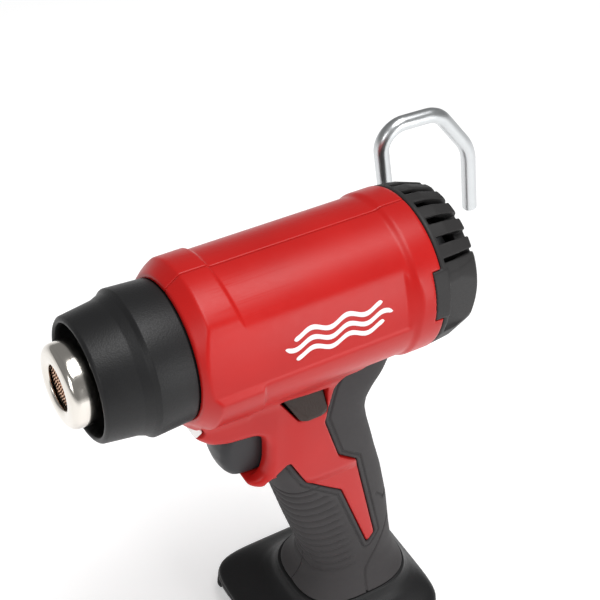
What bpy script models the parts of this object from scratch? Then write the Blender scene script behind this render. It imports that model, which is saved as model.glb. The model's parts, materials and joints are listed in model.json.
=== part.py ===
"""A compact battery heat gun: clamshell housing, hot-air barrel, pistol grip, battery foot and fold-out hook.

Frame: metres, +Z up, +X towards the nozzle, +Y to the tool's left. The origin is the middle of the terminal block's
flat underside, on the plane that the foot rests on. Profiles and outlines are written in millimetres in the tool's
own coordinates: u runs forward from the seam between housing and rear cap, z runs up from the barrel's axis.
"""
import math

import bmesh
import bpy
from mathutils import Matrix, Vector

MM = 0.001

# ------------------------------------------------------------------ driving dimensions, in millimetres
AXIS_Z = 200.0  # height of the barrel's axis above the rest plane
SEAM_X = -20.0  # place of the seam between housing and rear cap
GAP = 0.3  # clearance between two pieces that touch on the real tool
ROUND_STEPS = 32  # facets round the barrel

BARREL_R = 32.8  # housing barrel, outside
REAR_BAND_R = BARREL_R + 0.6  # raised band at the housing's rear
WALL = 2.4  # moulded wall of the housing
BORE_R = BARREL_R - WALL
COLLAR_U = 101.0  # front face of the housing's collar
SHROUD_R = BARREL_R - 5.2  # shroud at the collar
SHROUD_NOSE_U = 136.0  # front rim of the shroud
NOZZLE_TIP_U = 144.6  # front face of the nozzle's rolled lip
NOZZLE_R = 15.4  # nozzle tube, outside
NOZZLE_WALL = 1.0
LIP_R = NOZZLE_R + 0.8  # rolled lip, outside
OUTLET_R = 8.6  # hot-air outlet
SHROUD_BORE_R = NOZZLE_R + 5.6  # hole in the shroud's front rim
FLANGE_R = NOZZLE_R + 6.1  # flange at the nozzle tube's rear
WAIST_R = NOZZLE_R - 1.1  # waist behind the rolled lip

HANDLE_HALF_WIDTH = 17.2
GRIP_SKIN = 2.2  # thickness of the rubber overmould

TRIGGER_HALF_WIDTH = 9.0
TRIGGER_TRAVEL = 6.0
PLUNGER_R = 2.4
SLIDER_TRAVEL = 5.0

MOTOR_R = 14.3
MOTOR_LENGTH = 31.0
SHAFT_R = 1.6
FAN_R = BORE_R - 4.0
FAN_BLADES = 9

HOOK_WIRE_R = 3.2
HOOK_PIVOT_U = -10.0
HOOK_PIVOT_Z = -4.0
HOOK_PLANE_Y = -(REAR_BAND_R + HOOK_WIRE_R + 0.8)  # the hook swings just outside the barrel

CAP_DEPTH = 19.5
CAP_PAD_Y = REAR_BAND_R - 3.6  # flat pads on the rear cap's sides
SLOT_WIDTH = 2.4  # vent slots of the rear cap
SLOT_STEP_DEG = 15.0
CAP_SCREW_PCR = 21.0  # the two cap screws stand this far from the axis
CAP_SCREW_ANGLE = 38.0

FOOT_HEIGHT = 16.0
FOOT_HALF_WIDTH = 38.0
FOOT_REAR_U = -24.0
FOOT_FRONT_U = 64.0
CHANNEL_HEIGHT = 10.0
CHANNEL_HALF_WIDTH = 30.0
NECK_Z = -172.0  # joint between handle and foot, from the barrel's axis
BLOCK_HALF_WIDTH = 13.0
BLADE_THICKNESS = 0.8

SCREW_SHANK_R = 1.25
SCREW_HEAD_R = 2.8
BOSS_R = 3.6


# ------------------------------------------------------------------ helpers
def clear_scene():
    for obj in list(bpy.data.objects):
        bpy.data.objects.remove(obj, do_unlink=True)


def new_collection(name):
    made = bpy.data.collections.new(name)
    bpy.context.scene.collection.children.link(made)
    return made


def world(u, y, z):
    """A point of the tool's own millimetre coordinates, in the model's frame."""
    return Vector(((SEAM_X + u) * MM, y * MM, (AXIS_Z + z) * MM))


def material(name, colour, roughness, metallic=0.0):
    made = bpy.data.materials.new(name)
    made.use_nodes = True
    shader = made.node_tree.nodes["Principled BSDF"]
    shader.inputs["Base Color"].default_value = (*colour, 1.0)
    shader.inputs["Roughness"].default_value = roughness
    shader.inputs["Metallic"].default_value = metallic
    made.diffuse_color = (*colour, 1.0)
    return made


def object_from(bm, name):
    mesh = bpy.data.meshes.new(name)
    bmesh.ops.recalc_face_normals(bm, faces=bm.faces)
    bm.to_mesh(mesh)
    bm.free()
    obj = bpy.data.objects.new(name, mesh)
    PARTS.objects.link(obj)
    return obj


def baked(obj):
    """The object with its modifiers applied, as a plain mesh in the model's frame."""
    bpy.context.view_layer.update()
    graph = bpy.context.evaluated_depsgraph_get()
    mesh = bpy.data.meshes.new_from_object(obj.evaluated_get(graph))
    mesh.transform(obj.matrix_world)
    bm = bmesh.new()
    bm.from_mesh(mesh)
    bmesh.ops.remove_doubles(bm, verts=bm.verts, dist=1e-6)
    name = obj.name
    bpy.data.objects.remove(obj, do_unlink=True)
    return object_from(bm, name)


def box(name, low, high):
    """A box between two corners given as (u, y, z)."""
    a, b = world(*low), world(*high)
    bm = bmesh.new()
    size = Matrix.Diagonal((*(b - a), 1.0))
    bmesh.ops.create_cube(bm, size=1.0, matrix=Matrix.Translation((a + b) / 2) @ size)
    return object_from(bm, name)


def rod(name, start, end, radius, steps=16):
    """A cylinder between two points given as (u, y, z)."""
    a, b = world(*start), world(*end)
    turn = (b - a).to_track_quat("Z", "Y").to_matrix().to_4x4()
    bm = bmesh.new()
    bmesh.ops.create_cone(
        bm, cap_ends=True, segments=steps, radius1=radius * MM, radius2=radius * MM,
        depth=(b - a).length, matrix=Matrix.Translation((a + b) / 2) @ turn,
    )
    return object_from(bm, name)


def turned(name, profile, centre=(0.0, 0.0, 0.0), along="X", steps=ROUND_STEPS):
    """A profile of (distance along, radius) points turned about an axis through the centre."""
    bm = bmesh.new()
    for place, radius in profile:
        bm.verts.new(Vector((place, 0.0, radius)) * MM if along == "X" else Vector((radius, place, 0.0)) * MM)
    bm.verts.ensure_lookup_table()
    on_axis = profile[0][1] == 0.0 and profile[-1][1] == 0.0
    count = len(profile)
    for index in range(count - 1 if on_axis else count):
        bm.edges.new((bm.verts[index], bm.verts[(index + 1) % count]))
    mesh = bpy.data.meshes.new(name)
    bm.to_mesh(mesh)
    bm.free()
    obj = bpy.data.objects.new(name, mesh)
    PARTS.objects.link(obj)
    obj.location = world(*centre)
    screw = obj.modifiers.new("turn", "SCREW")
    screw.axis = along
    screw.steps = steps
    screw.render_steps = steps
    screw.use_merge_vertices = True
    screw.merge_threshold = 1e-6
    return baked(obj)


def plate(name, outline, plane, low, high):
    """A flat outline filled and extruded: plane "XZ" takes (u, z) points, "XY" takes (u, y), "YZ" takes (y, z)."""
    curve = bpy.data.curves.new(name, "CURVE")
    curve.dimensions = "2D"
    curve.fill_mode = "BOTH"
    curve.extrude = (high - low) / 2 * MM
    spline = curve.splines.new("POLY")
    spline.points.add(len(outline) - 1)
    for point, (a, b) in zip(spline.points, outline):
        point.co = (a * MM, b * MM, 0.0, 1.0)
    spline.use_cyclic_u = True
    obj = bpy.data.objects.new(name, curve)
    PARTS.objects.link(obj)
    middle = (low + high) / 2
    if plane == "XZ":
        obj.matrix_world = Matrix.Translation(world(0, middle, 0)) @ Matrix.Rotation(math.pi / 2, 4, "X")
    elif plane == "XY":
        obj.matrix_world = Matrix.Translation(world(0, 0, middle))
    else:
        turn = Matrix(((0, 0, 1, 0), (1, 0, 0, 0), (0, 1, 0, 0), (0, 0, 0, 1)))
        obj.matrix_world = Matrix.Translation(world(middle, 0, 0)) @ turn
    return baked(obj)


def wire(name, points, radius, resolution=2):
    """A round wire through points given as (u, y, z)."""
    curve = bpy.data.curves.new(name, "CURVE")
    curve.dimensions = "3D"
    curve.bevel_depth = radius * MM
    curve.bevel_resolution = resolution
    curve.use_fill_caps = True
    spline = curve.splines.new("POLY")
    spline.points.add(len(points) - 1)
    for place, point in zip(spline.points, points):
        place.co = (*world(*point), 1.0)
    obj = bpy.data.objects.new(name, curve)
    PARTS.objects.link(obj)
    return baked(obj)


def rounded_path(corners, radius, steps=5):
    """The corners joined by straight runs, each inner corner replaced by an arc of about this radius."""
    path = [Vector(corners[0])]
    for before, corner, after in zip(corners, corners[1:], corners[2:]):
        corner = Vector(corner)
        back = Vector(before) - corner
        ahead = Vector(after) - corner
        half = back.angle(ahead) / 2
        reach = min(radius / math.tan(half), back.length * 0.48, ahead.length * 0.48)
        start = corner + back.normalized() * reach
        end = corner + ahead.normalized() * reach
        for step in range(steps + 1):
            t = step / steps
            path.append(start.lerp(corner, t).lerp(corner.lerp(end, t), t))
    path.append(Vector(corners[-1]))
    return path


def loft(name, sections, inset=0.0, points=24):
    """A solid through level rounded sections: (z, rear u, front u, half width, squareness)."""
    bm = bmesh.new()
    rings = []
    for z, rear, front, half, square in sections:
        ring = []
        for index in range(points):
            angle = 2 * math.pi * (index + 0.5) / points
            c, s = math.cos(angle), math.sin(angle)
            a = math.copysign(abs(c) ** (2 / square), c) * ((front - rear) / 2 - inset)
            b = math.copysign(abs(s) ** (2 / square), s) * (half - inset)
            ring.append(bm.verts.new(world((front + rear) / 2 + a, b, z)))
        rings.append(ring)
    for lower, upper in zip(rings, rings[1:]):
        for index in range(points):
            after = (index + 1) % points
            bm.faces.new((lower[index], lower[after], upper[after], upper[index]))
    bm.faces.new(rings[0])
    bm.faces.new(rings[-1])
    return object_from(bm, name)


def combine(obj, other, operation):
    """One Boolean, applied; the other shape is used up."""
    modifier = obj.modifiers.new(operation.lower(), "BOOLEAN")
    modifier.operation = operation
    modifier.solver = "EXACT"
    modifier.object = other
    result = baked(obj)
    bpy.data.objects.remove(other, do_unlink=True)
    return result


def join(obj, *others):
    for other in others:
        obj = combine(obj, other, "UNION")
    return obj


def cut(obj, *others):
    for other in others:
        obj = combine(obj, other, "DIFFERENCE")
    return obj


def keep(obj, other):
    return combine(obj, other, "INTERSECT")


def copy_of(obj, name):
    made = bpy.data.objects.new(name, obj.data.copy())
    PARTS.objects.link(made)
    return made


def rename(obj, name):
    obj.name = name
    obj.data.name = name
    return obj


def softened(obj, width, angle=40.0, segments=1):
    """Edges sharper than the angle are bevelled."""
    bevel = obj.modifiers.new("soft", "BEVEL")
    bevel.width = width * MM
    bevel.segments = segments
    bevel.limit_method = "ANGLE"
    bevel.angle_limit = math.radians(angle)
    return baked(obj)


def finish(obj, look, pivot=None, smooth=True):
    """Gives a piece its material, its shading and, if it moves, its origin on the joint's axis."""
    obj.data.materials.clear()
    obj.data.materials.append(look)
    if smooth:
        obj.data.shade_smooth()
        obj.data.set_sharp_from_angle(angle=math.radians(35))
    if pivot is not None:
        place = world(*pivot)
        obj.data.transform(Matrix.Translation(-place))
        obj.location = place
    return obj


clear_scene()
PARTS = new_collection("heat_gun")

RED = material("red_nylon", (0.55, 0.03, 0.02), 0.35)
BLACK = material("black_nylon", (0.03, 0.03, 0.03), 0.5)
RUBBER = material("grip_rubber", (0.07, 0.065, 0.065), 0.65)
TRIGGER_GREY = material("trigger_nylon", (0.06, 0.06, 0.065), 0.4)
STEEL = material("polished_steel", (0.72, 0.70, 0.67), 0.18, 1.0)
PLATED = material("plated_wire", (0.70, 0.72, 0.72), 0.25, 1.0)
DARK_STEEL = material("dark_steel", (0.20, 0.20, 0.20), 0.4, 1.0)
CERAMIC = material("heater_ceramic", (0.78, 0.72, 0.62), 0.7)
COPPER = material("heater_wire", (0.60, 0.33, 0.22), 0.3, 1.0)
MICA = material("mica", (0.62, 0.52, 0.38), 0.5)
LENS = material("lamp_lens", (0.85, 0.86, 0.88), 0.15)
BOARD = material("circuit_board", (0.03, 0.16, 0.07), 0.5)
BRASS = material("contact_brass", (0.78, 0.57, 0.22), 0.3, 1.0)
ALUMINIUM = material("aluminium", (0.75, 0.76, 0.78), 0.35, 1.0)
RED_LEAD = material("red_lead", (0.60, 0.03, 0.03), 0.5)

# ------------------------------------------------------------------ handle: level sections, rear to front
NECK_HALF_WIDTH = HANDLE_HALF_WIDTH + 6.8
HANDLE_SECTIONS = [
    (NECK_Z, -15.0, 41.0, NECK_HALF_WIDTH, 2.8),
    (-164.0, -11.0, 35.5, HANDLE_HALF_WIDTH + 2.4, 2.6),
    (-156.0, -8.6, 34.8, HANDLE_HALF_WIDTH + 0.7, 2.5),
    (-146.0, -6.8, 37.6, HANDLE_HALF_WIDTH + 0.2, 2.5),
    (-125.0, -3.4, 45.0, HANDLE_HALF_WIDTH, 2.5),
    (-104.0, 1.7, 51.8, HANDLE_HALF_WIDTH, 2.6),
    (-90.0, 6.2, 56.4, HANDLE_HALF_WIDTH, 2.8),
    (-80.0, 9.2, 59.6, HANDLE_HALF_WIDTH, 3.0),
    (-68.0, 13.0, 60.5, HANDLE_HALF_WIDTH, 3.2),
    (-59.0, 15.4, 60.0, HANDLE_HALF_WIDTH, 3.2),
    (-52.0, 14.4, 60.0, HANDLE_HALF_WIDTH, 3.2),
    (-46.0, 11.0, 60.0, HANDLE_HALF_WIDTH, 3.2),
    (-40.0, 6.0, 60.0, HANDLE_HALF_WIDTH, 3.2),
    (-27.0, 2.0, 60.0, HANDLE_HALF_WIDTH, 3.2),
]
SPIGOT_HALF_WIDTH = HANDLE_HALF_WIDTH - 3.2
SPIGOT_SECTIONS = [
    (-181.0, -3.0, 29.0, SPIGOT_HALF_WIDTH, 2.6),
    (-160.0, -5.0, 31.0, SPIGOT_HALF_WIDTH + 0.6, 2.6),
]
POD_OUTLINE = [
    (24, -20), (98.2, -20), (98.2, -32), (97.4, -36), (94.4, -42), (89, -46.6), (82, -48.6), (70, -48.9),
    (66.8, -51), (65, -55.5), (64.5, -66), (65.6, -72.4), (69, -75.4), (74, -75.8), (74.6, -78), (70.5, -82.3),
    (64, -85.2), (56, -87.6), (24, -84),
]
PANEL_OUTLINE = [
    (33, -24), (37.6, -34), (39, -41), (40.6, -51.5), (32.3, -75.7), (22.3, -83.9), (8.2, -138.7), (12, -143.4),
    (28.6, -99.4), (46.1, -86.1), (55.2, -68.8), (61.5, -71.6), (62.8, -84), (90, -90), (100, -24),
]
SLIDER_OUTLINE = [(41, -32.8), (59.6, -32.8), (52, -45.6), (40.2, -45.2)]
LENS_OUTLINE = [(99.5, -33.0), (94.2, -33.4), (91.6, -37.8), (95.2, -41.4), (99.5, -37.6)]
LENS_HALF_WIDTH = 7.4


def widened(outline, amount):
    """The outline with every point moved away from its middle, for a clearance round it."""
    middle = Vector((sum(p[0] for p in outline) / len(outline), sum(p[1] for p in outline) / len(outline)))
    count = len(outline)
    area = sum(
        outline[i - 1][0] * outline[i][1] - outline[i][0] * outline[i - 1][1] for i in range(count)
    )
    turn = 1.0 if area > 0 else -1.0
    made = []
    for i in range(count):
        here = Vector(outline[i])
        before = (here - Vector(outline[i - 1])).normalized()
        after = (Vector(outline[(i + 1) % count]) - here).normalized()
        normal = Vector((before.y + after.y, -before.x - after.x)).normalized() * turn
        share = max(0.35, math.sqrt((1 + before.dot(after)) / 2))
        made.append(tuple(here + normal * amount / share))
    return made


# ------------------------------------------------------------------ housing halves
COLLAR_BORE_R = SHROUD_R - 0.6
GROOVE_R = COLLAR_BORE_R + 2.3
GROOVE_U = (88.6, 93.2)

SCREW_PLACES = [(83.5, -40.5), (30.6, -44.2), (57.5, -80.5), (18.0, -88.0), (8.5, -128.0), (25.0, -152.0)]
BOSS_REACHES = [HANDLE_HALF_WIDTH - short for short in (7.2, 3.8, 3.8, 7.4, 7.4, 7.4)]  # out from the parting line
SCREW_SEAT_Y = -8.5
SCREW_END_Y = 10.0


def barrel_outside(name, grow=0.0):
    return turned(name, [
        (0, 0), (0, REAR_BAND_R + grow), (12.5, REAR_BAND_R + grow), (14, BARREL_R + grow), (80, BARREL_R + grow),
        (84.5, BARREL_R + 0.8 + grow), (87, BARREL_R + 0.8 + grow), (88.8, BARREL_R - 0.6 + grow),
        (95.8, BARREL_R + 0.2 + grow), (COLLAR_U, SHROUD_R + 1.3 + grow), (COLLAR_U, 0),
    ])


def pod(name):
    """The nose under the barrel: the side outline, narrowed towards the front."""
    side = plate(name, POD_OUTLINE, "XZ", -HANDLE_HALF_WIDTH, HANDLE_HALF_WIDTH)
    half = HANDLE_HALF_WIDTH - 0.2
    plan = [(20, -half), (50, -half), (62, -half + 1.2), (72, -13.2), (90, -11), (96, -9), (99, -5)]
    plan = plan + [(u, -y) for u, y in reversed(plan)]
    return keep(side, plate("plan", plan, "XY", -90, -18))


def housing_shell():
    core = loft("core", HANDLE_SECTIONS, inset=GRIP_SKIN + GAP)
    skin = loft("skin", HANDLE_SECTIONS)
    panel = keep(skin, plate("panel", PANEL_OUTLINE, "XZ", -40, 40))
    spigot = loft("spigot", SPIGOT_SECTIONS)
    shell = join(barrel_outside("shell"), core, spigot, panel, pod("pod"))

    bore = turned("bore", [
        (-2, 0), (-2, BORE_R), (GROOVE_U[0] - 1.6, BORE_R), (GROOVE_U[0], GROOVE_R), (GROOVE_U[1], GROOVE_R),
        (GROOVE_U[1], COLLAR_BORE_R), (COLLAR_U + 2, COLLAR_BORE_R), (COLLAR_U + 2, 0),
    ])
    room = HANDLE_HALF_WIDTH - GRIP_SKIN - WALL
    rear_room = join(
        box("rear_room", (28.5, -room, -80), (63, room, -20)),
        box("rear_corner", (20, -room + 4.4, -79), (40, room - 4.4, -21)),
    )
    nose_room = box("nose_room", (60, -9.2, -45.5), (89.5, 9.2, -20))
    cavity = loft("cavity", HANDLE_SECTIONS[1:9], inset=GRIP_SKIN + GAP + WALL)
    throat_half = SPIGOT_HALF_WIDTH - 2.6
    throat = loft("throat", [
        (-183.0, -0.4, 26.4, throat_half, 2.6), (-158.0, -2.4, 28.4, throat_half + 0.6, 2.6),
    ])
    shell = cut(shell, join(bore, rear_room, nose_room, cavity, throat))

    for number, ((u, z), reach) in enumerate(zip(SCREW_PLACES, BOSS_REACHES)):
        shell = join(shell, rod(f"boss_{number}", (u, -reach, z), (u, reach, z), BOSS_R, 14))
    for sign, angle in ((1, CAP_SCREW_ANGLE), (-1, 180 - CAP_SCREW_ANGLE)):
        y = CAP_SCREW_PCR * math.cos(math.radians(angle))
        z = CAP_SCREW_PCR * math.sin(math.radians(angle))
        rib = box("rib", (0.7, 0, -1.5), (10.3, 1, 1.5))
        rib.data.transform(Matrix.Translation(-world(0, 0, 0)))
        rib.data.transform(Matrix.Diagonal((1, BORE_R + 1.1 - CAP_SCREW_PCR - 2.0, 1, 1)))
        rib.data.transform(Matrix.Translation((0, (CAP_SCREW_PCR + 2.0) * MM, 0)))
        rib.data.transform(Matrix.Rotation(math.radians(angle), 4, "X"))
        rib.data.transform(Matrix.Translation(world(0, 0, 0)))
        shell = join(shell, rod("cap_boss", (0.2, y, z), (11, y, z), BOSS_R, 14), rib)
        shell = cut(shell, rod("cap_pilot", (-1, y, z), (9, y, z), SCREW_SHANK_R + GAP, 12))
    for number, (u, z) in enumerate(SCREW_PLACES):
        shell = cut(shell, turned(f"screw_hole_{number}", [
            (-30, 0), (-30, SCREW_HEAD_R + GAP), (SCREW_SEAT_Y, SCREW_HEAD_R + GAP),
            (SCREW_SEAT_Y, SCREW_SHANK_R + GAP), (SCREW_END_Y, SCREW_SHANK_R + GAP), (SCREW_END_Y, 0),
        ], centre=(u, 0, z), along="Y", steps=12))
    width = TRIGGER_HALF_WIDTH + 0.4
    shell = cut(
        shell,
        box("trigger_pocket", (50, -width, -75.6), (78, width, -48.4)),
        plate("slider_window", widened(SLIDER_OUTLINE, 0.4), "XZ", -40, 40),
        plate("lens_seat", widened(LENS_OUTLINE, GAP), "XZ", -LENS_HALF_WIDTH - GAP, LENS_HALF_WIDTH + GAP),
    )
    return shell


shell = housing_shell()
left = keep(copy_of(shell, "left_housing"), box("left_side", (-60, GAP / 2, -240), (170, 80, 80)))
right = keep(shell, box("right_side", (-60, -80, -240), (170, -GAP / 2, 80)))
finish(rename(left, "left_housing"), RED)
finish(rename(right, "right_housing"), RED)

# ------------------------------------------------------------------ grip overmoulds
grip = cut(loft("grip", HANDLE_SECTIONS), loft("grip_core", HANDLE_SECTIONS, inset=GRIP_SKIN))
ends = box("grip_span", (-60, -80, NECK_Z + 0.4), (160, 80, -20))
grip = keep(grip, ends)
grip = cut(
    grip,
    barrel_outside("barrel_room", grow=GAP),
    plate("panel_room", widened(PANEL_OUTLINE, GAP), "XZ", -60, 60),
    plate("pod_room", widened(POD_OUTLINE, GAP), "XZ", -60, 60),
)
for number, (u, z) in enumerate(SCREW_PLACES):
    grip = cut(grip, rod(f"grip_hole_{number}", (u, -40, z), (u, -5, z), SCREW_HEAD_R + 0.8, 12))
left = keep(copy_of(grip, "left_grip"), box("left_side", (-60, GAP / 2, -240), (170, 80, 80)))
right = keep(grip, box("right_side", (-60, -80, -240), (170, -GAP / 2, 80)))
finish(rename(left, "left_grip"), RUBBER)
finish(rename(right, "right_grip"), RUBBER)

for number, (u, z) in enumerate(SCREW_PLACES):
    screw = turned(f"housing_screw_{number + 1}", [
        (SCREW_SEAT_Y - GAP - 2.2, 0), (SCREW_SEAT_Y - GAP - 2.2, SCREW_HEAD_R - 0.6),
        (SCREW_SEAT_Y - GAP - 1.6, SCREW_HEAD_R), (SCREW_SEAT_Y - GAP, SCREW_HEAD_R),
        (SCREW_SEAT_Y - GAP, SCREW_SHANK_R), (SCREW_END_Y - 1.6, SCREW_SHANK_R), (SCREW_END_Y - 0.6, 0),
    ], centre=(u, 0, z), along="Y", steps=10)
    finish(screw, DARK_STEEL)

# ------------------------------------------------------------------ shroud, nozzle and heater
finish(turned("nozzle_shroud", [
    (SHROUD_NOSE_U - 0.6, SHROUD_BORE_R), (SHROUD_NOSE_U, SHROUD_BORE_R + 1.0), (SHROUD_NOSE_U, SHROUD_R - 3.8),
    (SHROUD_NOSE_U - 0.8, SHROUD_R - 2.8), (121.5, SHROUD_R - 1.6), (118.6, SHROUD_R - 0.6),
    (117.6, SHROUD_R + 0.7), (116.6, SHROUD_R + 0.9),
    (COLLAR_U + 0.6, SHROUD_R), (COLLAR_U + 0.6, COLLAR_BORE_R - 0.4), (GROOVE_U[1] - GAP, COLLAR_BORE_R - 0.4),
    (GROOVE_U[1] - GAP, GROOVE_R - 0.4), (GROOVE_U[0] + 0.4, GROOVE_R - 0.4), (GROOVE_U[0] + 0.4, SHROUD_R - 3.0),
    (118, SHROUD_R - 3.4), (130, SHROUD_R - 4.8), (133.5, SHROUD_BORE_R),
]), BLACK)

finish(turned("nozzle_tube", [
    (NOZZLE_TIP_U, OUTLET_R + 0.8), (NOZZLE_TIP_U, LIP_R - 3.6), (NOZZLE_TIP_U - 0.9, LIP_R - 1.3),
    (NOZZLE_TIP_U - 2.8, LIP_R), (NOZZLE_TIP_U - 6.0, LIP_R), (NOZZLE_TIP_U - 7.6, LIP_R - 1.3),
    (NOZZLE_TIP_U - 8.4, WAIST_R), (NOZZLE_TIP_U - 10.4, WAIST_R), (NOZZLE_TIP_U - 11.8, NOZZLE_R),
    (92.3, NOZZLE_R), (92.3, FLANGE_R), (91.3, FLANGE_R), (91.3, NOZZLE_R - NOZZLE_WALL),
    (NOZZLE_TIP_U - 13.4, NOZZLE_R - NOZZLE_WALL), (NOZZLE_TIP_U - 11.0, WAIST_R - NOZZLE_WALL),
    (NOZZLE_TIP_U - 4.0, WAIST_R - NOZZLE_WALL), (NOZZLE_TIP_U - 2.0, LIP_R - 4.6), (NOZZLE_TIP_U - 1.6, OUTLET_R),
    (NOZZLE_TIP_U - 0.6, OUTLET_R),
], steps=24), STEEL)

finish(turned("heat_shield", [
    (116.6, NOZZLE_R + 1.8), (116.6, SHROUD_R - 3.8), (93.4, SHROUD_R - 3.8), (93.4, SHROUD_R - 4.4),
    (116.0, SHROUD_R - 4.4), (116.0, NOZZLE_R + 1.8),
], steps=24), DARK_STEEL)

sleeve_r = NOZZLE_R - NOZZLE_WALL - 0.4
finish(turned("mica_sleeve", [
    (130.6, sleeve_r - 0.7), (130.6, sleeve_r), (94.0, sleeve_r), (94.0, sleeve_r - 0.7),
], steps=24), MICA)

COIL_R = NOZZLE_R - 4.1
COIL_WIRE_R = 0.65
COIL_TURNS = 8
coil_path = []
for step in range(COIL_TURNS * 8 + 1):
    angle = 2 * math.pi * step / 8
    u = 101.0 + 33.0 * step / (COIL_TURNS * 8)
    coil_path.append((u, COIL_R * math.cos(angle), COIL_R * math.sin(angle)))
finish(wire("heater_coil", coil_path, COIL_WIRE_R, resolution=1), COPPER)

arm, half = COIL_R - COIL_WIRE_R - 0.6, 0.9
star = []
for turn in range(4):
    c, s = math.cos(turn * math.pi / 2), math.sin(turn * math.pi / 2)
    for a, b in ((half, -half), (arm, -half), (arm, half)):
        star.append((a * c - b * s, a * s + b * c))
finish(plate("heater_core", star, "YZ", 95.0, 137.0), CERAMIC, smooth=False)

finish(turned("heater_base", [
    (91.0, NOZZLE_R - 1.8), (91.0, FLANGE_R - 0.5), (88.7, FLANGE_R - 0.5), (88.7, NOZZLE_R - 1.8),
], steps=24), CERAMIC)

bulkhead_front = GROOVE_U[0] - 0.1 - 0.3
finish(turned("front_bulkhead", [
    (bulkhead_front, NOZZLE_R - 1.0), (bulkhead_front, BORE_R - 2.0), (86.6, BORE_R - 2.0), (86.6, NOZZLE_R - 1.0),
], steps=24), MICA)

cutout_z = NOZZLE_R + 3.8
finish(rod("thermal_cutout", (95.5, 0, cutout_z), (105.5, 0, cutout_z), 2.0, 12), CERAMIC)

# ------------------------------------------------------------------ air path and motor
duct_r = BORE_R - 0.5
finish(turned("air_duct", [
    (51.8, duct_r - 1.6), (51.8, duct_r), (58.0, duct_r), (86.2, NOZZLE_R + 2.6), (86.2, NOZZLE_R + 1.0),
    (58.0, duct_r - 1.6),
], steps=20), BLACK)
finish(turned("fan_ring", [
    (36.2, FAN_R + 1.6), (36.2, duct_r), (51.4, duct_r), (51.4, FAN_R + 1.6),
], steps=24), BLACK)

MOTOR_U = 2.4
motor_end = MOTOR_U + MOTOR_LENGTH
motor = turned("motor", [
    (MOTOR_U - 2.0, SHAFT_R + GAP), (MOTOR_U - 2.0, 5.0), (MOTOR_U, 5.0), (MOTOR_U, MOTOR_R - 0.8),
    (MOTOR_U + 0.8, MOTOR_R), (motor_end - 0.8, MOTOR_R), (motor_end, MOTOR_R - 0.8), (motor_end, 5.6),
    (motor_end + 2.0, 5.6), (motor_end + 2.0, SHAFT_R + GAP),
], steps=20)
finish(motor, DARK_STEEL)

mount = turned("motor_mount", [
    (27.0, duct_r - 2.2), (27.0, duct_r), (35.8, duct_r), (35.8, duct_r - 2.2),
], steps=20)
mount = join(mount, turned("motor_seat", [
    (27.0, MOTOR_R + 0.6), (27.0, MOTOR_R + 2.4), (35.8, MOTOR_R + 2.4), (35.8, MOTOR_R + 0.6),
], steps=20))
for spoke in range(5):
    bar = box("spoke", (28.2, -1.2, MOTOR_R + 1.2), (34.6, 1.2, duct_r - 1.0))
    bar.data.transform(Matrix.Translation(-world(0, 0, 0)))
    bar.data.transform(Matrix.Rotation(2 * math.pi * spoke / 5, 4, "X"))
    bar.data.transform(Matrix.Translation(world(0, 0, 0)))
    mount = join(mount, bar)
finish(mount, BLACK)

FAN_PIVOT = (0.0, 0.0, 0.0)
finish(rod("motor_shaft", (-3.0, 0, 0), (47.0, 0, 0), SHAFT_R), STEEL, pivot=FAN_PIVOT)

fan = turned("fan_impeller", [
    (37.6, SHAFT_R + GAP), (37.6, 7.0), (48.5, 7.0), (49.8, 5.4), (49.8, SHAFT_R + GAP),
], steps=16)
for blade in range(FAN_BLADES):
    vane = box("vane", (-5.6, -0.7, 5.8), (5.6, 0.7, FAN_R))
    vane.data.transform(Matrix.Translation(-world(0, 0, 0)))
    vane.data.transform(Matrix.Rotation(math.radians(38), 4, "Z"))
    vane.data.transform(Matrix.Rotation(2 * math.pi * blade / FAN_BLADES, 4, "X"))
    vane.data.transform(Matrix.Translation(world(43.6, 0, 0)))
    fan = join(fan, vane)
finish(fan, BLACK, pivot=FAN_PIVOT)

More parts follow.
